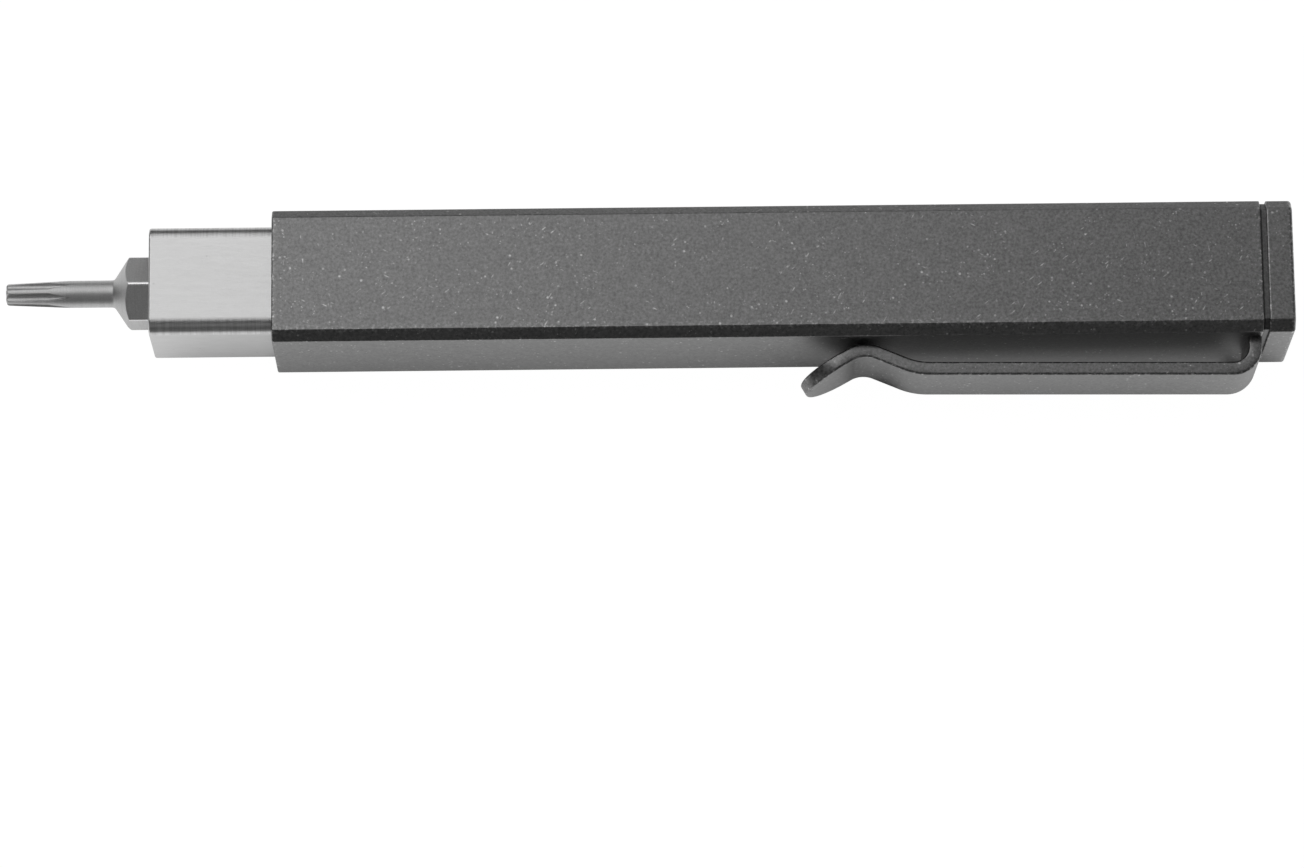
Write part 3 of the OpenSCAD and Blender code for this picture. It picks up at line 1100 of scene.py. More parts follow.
@dataclass
class EndCap:
    """The end cap: boss, narrow neck and chamfered head with a countersunk hole.

    Attributes:
        head_l: Thickness of the head.
        neck_l: Width of the neck.
        neck_depth: Depth of the neck below the head's faces.
        chamfer: Chamfer along the head's edges.
        rear_r: Rounding round the rear face.
        front_r: Rounding of the head's front edge.
        edge_r: Rounding of the chamfers' edges.
        shading_w: Width of the strip beside each edge in which the shading turns.
        boss_w: Width of the boss in the bore.
        boss_corner_r: Radius of the boss's corners.
        boss_front_r: Rounding of its front edge.
        hole_d: Diameter of the screw hole.
        sink_d: Diameter of the countersink.
        sink_edge_r: Rounding of its edge.
        seat_room: Room on each side of the clip's tab in its seat.
        seat_points: Number of points round the seat's end.
        painted_shade_l: Width of the darkest painted shade in the neck, a line next to the sleeve.
        painted_shade: Wear value of that line, where -1 is full painted shade.
        neck_painted_shade: Wear value of the rest of the neck, a lighter painted shade.
    """

    head_l: float = 2.5
    neck_l: float = 0.55
    neck_depth: float = 0.25
    chamfer: float = 0.98
    rear_r: float = 0.35
    front_r: float = 0.12
    edge_r: float = 0.16
    shading_w: float = 0.35
    boss_w: float = 10.7
    boss_corner_r: float = 1.4
    boss_front_r: float = 0.1
    hole_d: float = 3.2
    sink_d: float = 5.6
    sink_edge_r: float = 0.06
    seat_room: float = 0.05
    seat_points: int = 25
    painted_shade_l: float = 0.1
    painted_shade: float = -1.0
    neck_painted_shade: float = -0.55

    def build(self, finishes: Finishes) -> Piece:
        """Carries the outlines from the hole round boss, neck and head into the countersink.

        Args:
            finishes: The object's finishes.

        Returns:
            The cap.
        """
        low, high = node_box("end_cap")
        width, axis_z = high[2] - low[2], (high[2] + low[2]) / 2
        x_tab, x_rear = low[0], high[0]
        x_head = x_rear - self.head_l
        x_neck = x_head - self.neck_l
        neck_w = width - 2 * self.neck_depth
        neck_chamfer = self.chamfer - (2 - math.sqrt(2)) * self.neck_depth
        head = Outline.octagon(width, self.chamfer, self.edge_r)
        neck = Outline.octagon(neck_w, neck_chamfer, self.edge_r)
        boss = Outline.square(self.boss_w, self.boss_corner_r)
        hole = Outline.circle(self.hole_d)
        sink = Outline.circle(self.sink_d)
        stations = [
            Station(x_tab, hole),
            *edge_stations(x_tab, boss, self.boss_front_r, 1, steps=2),
            Station(x_neck, boss),
            # The neck is darkened with painted shade: a dark line beside the sleeve and a lighter shade over
            # the rest of the groove.
            Station(x_neck, neck, self.painted_shade),
            Station(x_neck + self.painted_shade_l, neck, self.painted_shade),
            Station(x_neck + 1.5 * self.painted_shade_l, neck, self.neck_painted_shade),
            Station(x_head, neck, self.neck_painted_shade),
            *edge_stations(x_head, head, self.front_r, 1),
            Station(x_head + 2 * self.front_r, head),
            Station(x_rear - self.rear_r - self.front_r, head),
            *edge_stations(x_rear, head, self.rear_r, -1, steps=6)[::-1],
            *edge_stations(x_rear, sink, -self.sink_edge_r, -1, steps=2),
            Station(x_rear - (self.sink_d - self.hole_d) / 2, hole),
        ]
        theta = spread((head, neck, boss, hole), steps=8, apron=self.shading_w)
        # The wear here holds the neck's painted shade as values below 0.
        wear = wear_along(stations) + 0 * theta
        piece = skin("end_cap_shell", carried(stations, theta, axis_z), Ends.JOINED, wear)
        cut(piece, [self._tab_seat(x_tab)])
        polish(piece)
        finishes.put_on(piece, Slot.STONEWASHED)
        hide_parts("end_cap")
        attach(piece, Body.SLEEVE.value)
        return piece

    def _tab_seat(self, x_tab: float) -> Piece:
        """Makes the solid that the seat of the clip's tab is cut with.

        Args:
            x_tab: Place of the cap's front face.

        Returns:
            The solid, straight with a round end.
        """
        low, high = node_box("clip_arm")
        rear = node_box("clip_root")[1][0]
        half, axis_z = (high[2] - low[2]) / 2 + self.seat_room, (high[2] + low[2]) / 2
        turns = np.linspace(-math.pi / 2, math.pi / 2, self.seat_points)
        round_end = np.stack([half * np.cos(turns), axis_z + half * np.sin(turns)], -1)
        square_end = np.array([[-self.boss_w, axis_z + half], [-self.boss_w, axis_z - half]])
        return prism("tab_seat", np.concatenate([round_end, square_end]), x_tab - OVERCUT, rear, 0)


@dataclass
class CapScrew:
    """The countersunk screw with its hexagon recess.

    Attributes:
        thread_d: Diameter of the thread.
        thread_depth: Depth of the thread.
        pitch: Pitch of the thread.
        plain_l: Length under the head, and before the point, without thread.
        point_r: Rounding of the point's edge.
        head_d: Diameter of the head.
        head_edge_r: Rounding of its edge.
        key_af: Width across the recess's flats.
        key_l: Depth of the recess.
        key_corner_r: Radius of the recess's corners.
        key_edge_r: Rounding of its edge.
    """

    thread_d: float = 3.0
    thread_depth: float = 0.13
    pitch: float = 0.5
    plain_l: float = 0.3
    point_r: float = 0.2
    head_d: float = 5.6
    head_edge_r: float = 0.1
    key_af: float = 2.0
    key_l: float = 1.1
    key_corner_r: float = 0.05
    key_edge_r: float = 0.08

    def build(self, finishes: Finishes) -> Piece:
        """Carries the outlines from the recess's floor over the head and down the thread.

        Args:
            finishes: The object's finishes.

        Returns:
            The screw.
        """
        low, high = node_box("cap_screw")
        axis_z = (high[2] + low[2]) / 2
        key = Outline.hexagon(self.key_af, self.key_corner_r)
        head = Outline.circle(self.head_d)
        thread = Outline.circle(self.thread_d)
        groove = thread.inset(self.thread_depth)
        under_head = high[0] - (self.head_d - self.thread_d) / 2
        crests = int((under_head - low[0] - 2 * self.plain_l) / self.pitch)
        stations = [
            Station(high[0] - self.key_l, key),
            *edge_stations(high[0], key, -self.key_edge_r, -1, steps=2)[::-1],
            *edge_stations(high[0], head, self.head_edge_r, -1, steps=3),
            Station(under_head, thread),
        ]
        for number in range(crests):
            crest = under_head - self.plain_l - number * self.pitch
            stations += [Station(crest, thread), Station(crest - self.pitch / 2, groove)]
        stations += edge_stations(low[0], groove, self.point_r, 1, steps=3)[::-1]
        theta = spread((key, head), steps=12)
        grid = carried(stations, theta, axis_z)[:, ::-1]
        piece = skin("countersunk_screw", grid, Ends.CAPPED, wear_along(stations) + 0 * theta)
        polish(piece)
        finishes.put_on(piece, Slot.BLACK)
        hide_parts("cap_screw")
        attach(piece, Body.SLEEVE.value)
        return piece


@dataclass
class PocketClip:
    """The bent strip of the pocket clip, from its tab on the screw to the round tip.

    Attributes:
        pivot: Place where the clip flexes, in metres; it is not used.
        thickness: Thickness of the strip.
        edge_r: Rounding of the strip's edges.
        root_r: Inner radius of the rear bend.
        lean_deg: Lean of the long run towards the sleeve.
        climb_deg: Slope of the stretch that climbs to the crest.
        climb_r: Radius of the bend into the climb.
        crest_r: Radius of the crest.
        flare_deg: Slope of the flared tip.
        crest_gap: Gap between the sleeve and the crest.
        flare_l: Distance from the crest to the tip.
        hole_d: Diameter of the screw hole in the tab.
        hole_reach: How far the solid that cuts the hole reaches to each side of the middle line.
        flex_l: Length of the run that takes up the bending when the clip is lifted; it is not used.
        arc_points: Number of points along an arc, or along an end that is round.
        edge_points: Number of points across each of the section's rounded edges.
        straight_step: Distance between the points along a straight.
        least_half_w: Half the width that is left at the very ends.
    """

    pivot: Triple
    thickness: float = 1.3
    edge_r: float = 0.22
    root_r: float = 1.5
    lean_deg: float = 0.6
    climb_deg: float = 23.0
    climb_r: float = 6.5
    crest_r: float = 3.0
    flare_deg: float = 29.5
    crest_gap: float = 0.28
    flare_l: float = 6.2
    hole_d: float = 3.2
    hole_reach: float = 2.0
    flex_l: float = 14.0
    arc_points: int = 25
    edge_points: int = 6
    straight_step: float = 0.8
    least_half_w: float = 0.02

    def build(self, finishes: Finishes) -> Piece:
        """Carries the strip's section along its middle line.

        Args:
            finishes: The object's finishes.

        Returns:
            The clip.
        """
        low, high = node_box("clip_arm")
        half, axis_z = (high[2] - low[2]) / 2, (high[2] + low[2]) / 2
        middle, heading = self._middle_line(low[0], half)
        grid, wear = self._sections(middle, heading, half, axis_z)
        piece = skin("pocket_clip", grid, Ends.CAPPED, wear)
        hole = disc(self.hole_d) + np.array([0.0, axis_z])
        x_tab = middle[0, 0]
        cut(piece, [prism("clip_hole", hole, x_tab - self.hole_reach, x_tab + self.hole_reach, 0)])
        polish(piece)
        finishes.put_on(piece, Slot.STONEWASHED)
        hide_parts("clip_root", "clip_arm")
        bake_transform(piece)
        return piece

    def _middle_line(self, x_tip: float, half: float) -> tuple[Array, Array]:
        """Lays out the strip's middle line as straights and arcs, each tangent to the last.

        A straight of length l adds l (cos h, sin h) for heading h. An arc of radius r that turns
        by a adds r (sin(h + a) - sin h, cos h - cos(h + a)), with r taken negative for a turn to
        the right. The run and the climb get the lengths that bring the line to the crest.

        Args:
            x_tip: Place of the tip along the tool.
            half: Half the strip's width, which is the radius of its round ends.

        Returns:
            Points [x, y] and headings in radians.
        """
        sleeve_low = node_box("sleeve")[0]
        root_low, root_high = node_box("clip_root")
        lean, climb, flare = np.radians([self.lean_deg, self.climb_deg, self.flare_deg])
        t = self.thickness
        bend_r = self.root_r + t / 2
        leg_x = root_high[0] - t / 2
        leg_end = root_low[1] + t / 2 + bend_r
        crest_x = x_tip + self.flare_l
        crest_y = sleeve_low[1] - self.crest_gap - t / 2
        arm = np.array([leg_x - bend_r * (1 + math.sin(lean)), leg_end - bend_r * math.cos(lean)])
        rise = crest_y - arm[1] - self.climb_r * (math.cos(lean) - math.cos(climb))
        rise -= self.crest_r * (1 - math.cos(climb))
        reach = arm[0] - crest_x - self.climb_r * (math.sin(climb) - math.sin(lean))
        reach -= self.crest_r * math.sin(climb)
        spare = math.sin(climb - lean)
        run_l = (reach * math.sin(climb) - rise * math.cos(climb)) / spare
        climb_l = (rise * math.cos(lean) - reach * math.sin(lean)) / spare
        tip_l = (self.flare_l - (self.crest_r + t / 2) * math.sin(flare)) / math.cos(flare)
        steps = ((half, 0, 0), (-leg_end, 0, 0), (0, bend_r, -math.pi / 2 - lean), (run_l, 0, 0),
                 (0, self.climb_r, lean - climb), (climb_l, 0, 0), (0, self.crest_r, climb + flare),
                 (tip_l, 0, 0))
        return self._follow(np.array([leg_x, half]), -math.pi / 2, steps)

    def _follow(self, start: Array, heading: float, steps: tuple[Triple, ...]) -> tuple[Array, Array]:
        """Walks the steps of the middle line, with close stations where an end is round.

        Args:
            start: First point.
            heading: First heading.
            steps: Straights as (length, 0, 0) and arcs as (0, radius, turn).

        Returns:
            Points and headings.
        """
        points, headings, at = [], [], start
        for number, (length, radius, turn) in enumerate(steps):
            share = np.linspace(0, 1, self.arc_points)
            if number == 0:
                share = 1 - np.cos(share * math.pi / 2)
            elif number == len(steps) - 1:
                share = np.sin(share * math.pi / 2)
            elif radius == 0:
                share = np.linspace(0, 1, max(2, int(length / self.straight_step)))
            h = heading + turn * share
            signed = math.copysign(radius, turn)
            bend = signed * np.stack([np.sin(h) - math.sin(heading), math.cos(heading) - np.cos(h)], -1)
            line = (length * share)[:, None] * np.array([math.cos(heading), math.sin(heading)])
            walked = at + line + bend
            points.append(walked[1:] if number else walked)
            headings.append(h[1:] if number else h)
            at, heading = walked[-1], float(h[-1])
        return np.concatenate(points), np.concatenate(headings)

    def _to_round_end(self, middle: Array, half: float) -> Array:
        """Gives how far each station is short of its full width: r - u at u from an end, and 0 past it.

        Args:
            middle: Points of the middle line.
            half: Half the strip's width, which is the radius r.

        Returns:
            Distances, one for each station.
        """
        tab = np.clip(middle[0, 1] - middle[:, 1], 0, half)
        tip = np.clip(middle[:, 0] - middle[-1, 0], 0, half)
        return half - np.minimum(tab, tip)

    def _sections(self, middle: Array, heading: Array, half: float, axis_z: float) -> tuple[Array, Array]:
        """Stands a rounded rectangle square to the middle line at each station.

        The strip's outline is straight with round ends: at v short of the full width it reaches
        sqrt(r^2 - v^2) to each side, and a point w from the middle is d = r - sqrt(v^2 + w^2)
        inside it. Its edge is a quarter circle of radius e all along that outline, so half the
        thickness there is t / 2 - e + sqrt(e^2 - (e - d)^2). A point lies at the middle line plus
        that times the left-hand normal, at height w from the axis.

        Args:
            middle: Points of the middle line.
            heading: Its headings.
            half: Half the strip's full width.
            axis_z: Height of the axis.

        Returns:
            Points as stations by section, and their wear.
        """
        turns = np.linspace(0, math.pi / 2, self.edge_points)
        parts = 0.5 * math.pi * np.arange(4)[:, None] + turns
        quarters = parts.mean(1)[:, None]
        out_t, out_w = np.sign(np.cos(quarters)), np.sign(np.sin(quarters))
        short = self._to_round_end(middle, half)[:, None, None]
        width = np.maximum(np.sqrt(half**2 - short**2), self.least_half_w)
        edge_w = np.minimum(self.edge_r, width)
        w = out_w * (width - edge_w) + edge_w * np.sin(parts)
        inside = np.clip(half - np.sqrt(short**2 + w**2), 0, self.edge_r)
        rise = np.sqrt(self.edge_r**2 - (self.edge_r - inside) ** 2)
        t = out_t * (self.thickness / 2 - self.edge_r + rise)
        t, w = t.reshape(len(middle), -1), w.reshape(len(middle), -1)
        x = middle[:, :1] - t * np.sin(heading)[:, None]
        y = middle[:, 1:] + t * np.cos(heading)[:, None]
        edge = [0.0, *[1.0] * (self.edge_points - 2), 0.0]
        wear = np.broadcast_to(np.tile(edge, 4), w.shape)
        return np.stack([x, y, axis_z + w], -1), wear


@dataclass
class BitBar:
    """The brushed square bar with its hexagon socket, its three pockets and the magnet seats.

    Attributes:
        corner_r: Radius of the long edges.
        front_r: Rounding round the front face.
        socket_af: Width across the socket's flats.
        socket_corner_r: Radius of the socket's corners.
        lead_in: Bevel round the socket's mouth.
        pockets: Number of pockets.
        pocket_l: Length of a pocket.
        pocket_w: Width of a pocket.
        pocket_corner_r: Radius of a pocket's corners.
        web: Wall between two pockets.
        push_hole_d: Diameter of the hole under each pocket.
        end_magnet_d: Diameter of the magnet's seat in the tail.
        end_magnet_t: Depth of that seat.
        sharp_deg: Turn between two faces above which their edge is sharp.
    """

    corner_r: float = 1.35
    front_r: float = 0.2
    socket_af: float = 6.45
    socket_corner_r: float = 0.1
    lead_in: float = 0.2
    pockets: int = 3
    pocket_l: float = 25.8
    pocket_w: float = 7.5
    pocket_corner_r: float = 1.0
    web: float = 1.5
    push_hole_d: float = 4.5
    end_magnet_d: float = 6.0
    end_magnet_t: float = 2.0
    sharp_deg: float = 35.0

    def build(self, finishes: Finishes) -> Piece:
        """Carries the outlines from the socket's floor over the bar to the seat in its tail.

        Args:
            finishes: The object's finishes.

        Returns:
            The bar.
        """
        low, high = node_box("bit_bar")
        width, axis_z = high[2] - low[2], (high[2] + low[2]) / 2
        magnet_low, magnet_high = node_box("socket_magnet")
        bar = Outline.square(width, self.corner_r)
        socket = Outline.hexagon(self.socket_af, self.socket_corner_r)
        seat = Outline.circle(magnet_high[2] - magnet_low[2])
        tail = Outline.circle(self.end_magnet_d)
        stations = [
            Station(magnet_high[0], seat),
            Station(magnet_low[0], seat),
            Station(magnet_low[0], socket),
            Station(low[0] + self.lead_in, socket),
            Station(low[0], socket.inset(-self.lead_in)),
            *edge_stations(low[0], bar, self.front_r, 1),
            *edge_stations(high[0], bar, self.front_r, -1)[::-1],
            Station(high[0], tail),
            Station(high[0] - self.end_magnet_t, tail),
        ]
        theta = np.concatenate([spread((bar, tail), steps=10), spread((socket,), steps=2)])
        theta = np.unique(theta.round(DECIMALS))
        ground = bar.on_corner(theta) + np.zeros((len(stations), 1))
        piece = skin("bit_bar_body", carried(stations, theta, axis_z), Ends.CAPPED, ground)
        for number in range(self.pockets):
            cut(piece, self._pocket(number))
        polish(piece, self.sharp_deg)
        finishes.put_on(piece, Slot.BRUSHED)
        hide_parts("bit_bar")
        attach(piece, Body.BIT_BAR.value)
        return piece

    def _pocket(self, number: int) -> list[Piece]:
        """Makes the solids that a pocket, its push hole and its magnet's seat are cut with.

        Args:
            number: Number of the pocket from the socket, from 0.

        Returns:
            The three solids.
        """
        magnet_low, magnet_high = node_box(f"pocket_magnet_{number + 1}")
        bar_low, bar_high = node_box("bit_bar")
        first_low = node_box("socket_magnet")[1][0] + self.web
        front = first_low + number * (self.pocket_l + self.web)
        floor = magnet_high[2]
        middle = np.array([front + self.pocket_l / 2, 0.0])
        shape = middle + rounded_box(self.pocket_l, self.pocket_w, self.pocket_corner_r)
        push = np.array([front + self.push_hole_d, 0.0]) + disc(self.push_hole_d)
        magnet_d = magnet_high[0] - magnet_low[0]
        seat = np.array([(magnet_high[0] + magnet_low[0]) / 2, 0.0]) + disc(magnet_d)
        return [
            prism("pocket", shape, floor, bar_high[2] + OVERCUT, 2),
            prism("push_hole", push, bar_low[2] - OVERCUT, floor + OVERCUT, 2),
            prism("magnet_seat", seat, magnet_low[2], floor + OVERCUT, 2),
        ]


@dataclass
class DriverBit:
    """The six-lobe bit in the bar's socket.

    Attributes:
        across_flats: Width across the hexagon's flats.
        across_corners: Width across its rounded corners.
        nose_l: Length in front of the hexagon.
        cone_l: Length of the cone into the hexagon.
        shank_d: Diameter of the shank.
        tip_d: Diameter across the lobes at the tip.
        taper_l: Length of the taper behind the tip.
        flute_l: Length of the flutes at full depth.
        flute_r: Radius of a flute.
        floor_r: Radius at the flutes' floor.
        tip_r: Rounding of the tip's edge.
        tail_bevel: Bevel round the tail.
        fillet: Size of the fillet between shank and cone.
        corner_strip: Depth below the corners over which their polish fades out.
        flat_join: Rounding where the cone meets the flats.
        soft_join: Rounding along the flutes and the corners.
        sides: Number of points round the bit.
        nose_step: Distance between the rings of the nose.
        shank_step: The same along the shank.
        cone_step: The same along the cone.
        close_l: How far the close rings run past the taper, and start before the cone.
        past_cone_l: How far they run past the cone.
        shank_gap: Distance of the shank's rings from taper and cone.
        flat_ends: Distances of the flats' first and last ring from their ends.
        sharp_deg: Turn between two faces above which their edge is sharp.
    """

    across_flats: float = 6.35
    across_corners: float = 7.2
    nose_l: float = 11.9
    cone_l: float = 1.5
    shank_d: float = 2.6
    tip_d: float = 2.05
    taper_l: float = 6.1
    flute_l: float = 4.1
    flute_r: float = 0.42
    floor_r: float = 0.78
    tip_r: float = 0.25
    tail_bevel: float = 0.5
    fillet: float = 0.16
    # corner_strip: Depth below the corners over which their polish and painted highlight fade out.
    corner_strip: float = 0.05
    flat_join: float = 0.05
    soft_join: float = 0.03
    sides: int = 288
    nose_step: float = 0.06
    shank_step: float = 0.4
    cone_step: float = 0.03
    close_l: float = 0.5
    past_cone_l: float = 0.4
    shank_gap: float = 0.6
    flat_ends: Pair = (1.0, 0.3)
    sharp_deg: float = 42.0

    def build(self, finishes: Finishes) -> Piece:
        """Builds the bit as a radius over length and angle.

        Args:
            finishes: The object's finishes.

        Returns:
            The bit.
        """
        low, high = node_box("driver_bit")
        axis_z, length = (high[2] + low[2]) / 2, high[0] - low[0]
        x = self._rings(length)
        theta = math.tau * np.arange(self.sides) / self.sides
        r = self._radius(x[:, None], theta[None, :], length)
        grid = np.stack([low[0] + x[:, None] + 0 * r, r * np.cos(theta), axis_z + r * np.sin(theta)], -1)
        # The corner strip drives polish and also a painted highlight in the finish.
        polished = np.clip((r - self.across_corners / 2) / self.corner_strip + 1, 0, 1)
        piece = skin("six_lobe_bit", grid, Ends.CAPPED, polished)
        piece.data.shade_smooth()
        piece.data.set_sharp_from_angle(angle=math.radians(self.sharp_deg))
        finishes.put_on(piece, Slot.BIT)
        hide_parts("driver_bit")
        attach(piece, Body.DRIVER_BIT.value)
        return piece

    def _rings(self, length: float) -> Array:
        """Gives the places of the rings, which lie close where the shape changes.

        Args:
            length: Whole length.

        Returns:
            Distances from the tip.
        """
        turns = np.linspace(0, math.pi / 2, 6)
        cone, bevel = self.nose_l - self.cone_l, length - self.tail_bevel
        return np.concatenate([
            self.tip_r * (1 - np.cos(turns)),
            np.arange(self.tip_r + self.nose_step, self.taper_l + self.close_l, self.nose_step),
            np.arange(self.taper_l + self.shank_gap, cone - self.shank_gap, self.shank_step),
            np.arange(cone - self.close_l, self.nose_l + self.past_cone_l, self.cone_step),
            [self.nose_l + self.flat_ends[0], bevel - self.flat_ends[1], bevel, length],
        ])

    def _radius(self, x: Array, theta: Array, length: float) -> Array:
        """Gives the bit's radius as the least of several surfaces, with soft joins.

        The nose tapers from the tip to the shank. A flute is a circle at distance d whose near
        side is met at d cos a - sqrt(g^2 - (d sin a)^2), with a from the flute's middle and g
        narrowing to nothing where it runs out. A cone grows out of the shank through a fillet,
        the hexagon's flats lie at h / cos of the angle to the nearest flat, and a cylinder and
        the tail's bevel bound its corners. The tip's edge is a quarter circle.

        Args:
            x: Distances from the tip, as a column.
            theta: Directions, as a row.
            length: Whole length.

        Returns:
            Radii, as distances by directions.
        """
        taper = np.clip(x / self.taper_l, 0, 1)
        nose = self.tip_d / 2 + (self.shank_d - self.tip_d) / 2 * taper
        groove = self.flute_r * np.clip((self.taper_l - x) / (self.taper_l - self.flute_l), 0, 1)
        middle = self.floor_r + self.flute_r
        sixth = math.pi / 3
        from_flute = (theta - sixth / 2) % sixth - sixth / 2
        inside = groove**2 - (middle * np.sin(from_flute)) ** 2
        near_side = middle * np.cos(from_flute) - np.sqrt(np.maximum(inside, 0))
        fluted = np.where(inside > 0, near_side, nose + 1)
        lobes = soft_least(nose, fluted, self.soft_join)
        slope = (self.across_corners - self.shank_d) / 2 / self.cone_l
        cone = self.shank_d / 2 + slope * (x - (self.nose_l - self.cone_l))
        body = soft_most(lobes, cone, self.fillet)
        from_flat = (theta + sixth / 2) % sixth - sixth / 2
        hexagon = self.across_flats / 2 / np.cos(from_flat)
        body = soft_least(body, hexagon, self.flat_join)
        body = soft_least(body, self.across_corners / 2, self.soft_join)
        tail = self.across_corners / 2 + (length - x) - self.tail_bevel
        body = np.minimum(body, tail)
        tip = self.tip_r * (1 - np.sqrt(np.clip(1 - (1 - x / self.tip_r) ** 2, 0, 1)))
        return body - np.where(x < self.tip_r, tip, 0)


def soft_least(first: Array, second: Array | float, blend: float) -> Array:
    """Gives the lesser of two surfaces with the join rounded: (a + b - sqrt((a - b)^2 + k^2)) / 2."""
    return (first + second - np.sqrt((first - second) ** 2 + blend**2)) / 2


def soft_most(first: Array, second: Array, blend: float) -> Array:
    """Gives the greater of two surfaces with the join rounded the same way."""
    return (first + second + np.sqrt((first - second) ** 2 + blend**2)) / 2


@dataclass
class Inside:
    """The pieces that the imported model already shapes: plug, magnets and stored bits."""

    slots: tuple[tuple[str, Slot], ...] = (
        ("tail_plug", Slot.TURNED), ("plug_magnet", Slot.NICKEL), ("socket_magnet", Slot.NICKEL),
        ("bar_magnet", Slot.NICKEL), ("pocket_magnet_1", Slot.NICKEL), ("pocket_magnet_2", Slot.NICKEL),
        ("pocket_magnet_3", Slot.NICKEL), ("phillips_bit", Slot.BIT), ("slotted_bit", Slot.BIT),
        ("hex_bit", Slot.BIT),
    )

    def dress(self, nodes: dict[str, Piece], finishes: Finishes) -> None:
        """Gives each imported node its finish.

        Args:
            nodes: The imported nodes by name.
            finishes: The object's finishes.
        """
        for name, slot in self.slots:
            finishes.dress_node(nodes[name], slot)
            log.info("dressed %s", name)


@dataclass(frozen=True)
class Lamp:
    """A soft box that faces the tool.

    Attributes:
        name: Name of the lamp.
        place: Its place, in metres.
        size: Its size away from the upright axis and along the horizon, in metres.
        level: Its radiance, where 1 shows as white in a mirror.
    """

    name: str
    place: Triple
    size: Pair
    level: float

    def hang(self) -> None:
        """Hangs the lamp with its face to the tool."""
        data = bpy.data.lights.new(self.name, "AREA")
        data.shape = "RECTANGLE"
        data.size, data.size_y = self.size
        data.energy = self.level * math.pi * self.size[0] * self.size[1]
        lamp = bpy.data.objects.new(self.name, data)
        lamp.location = self.place
        x, y, z = self.place
        lamp.rotation_euler = Euler((0, math.atan2(math.hypot(x, y), z), math.atan2(y, x)), "XYZ")
        bpy.context.scene.collection.objects.link(lamp)


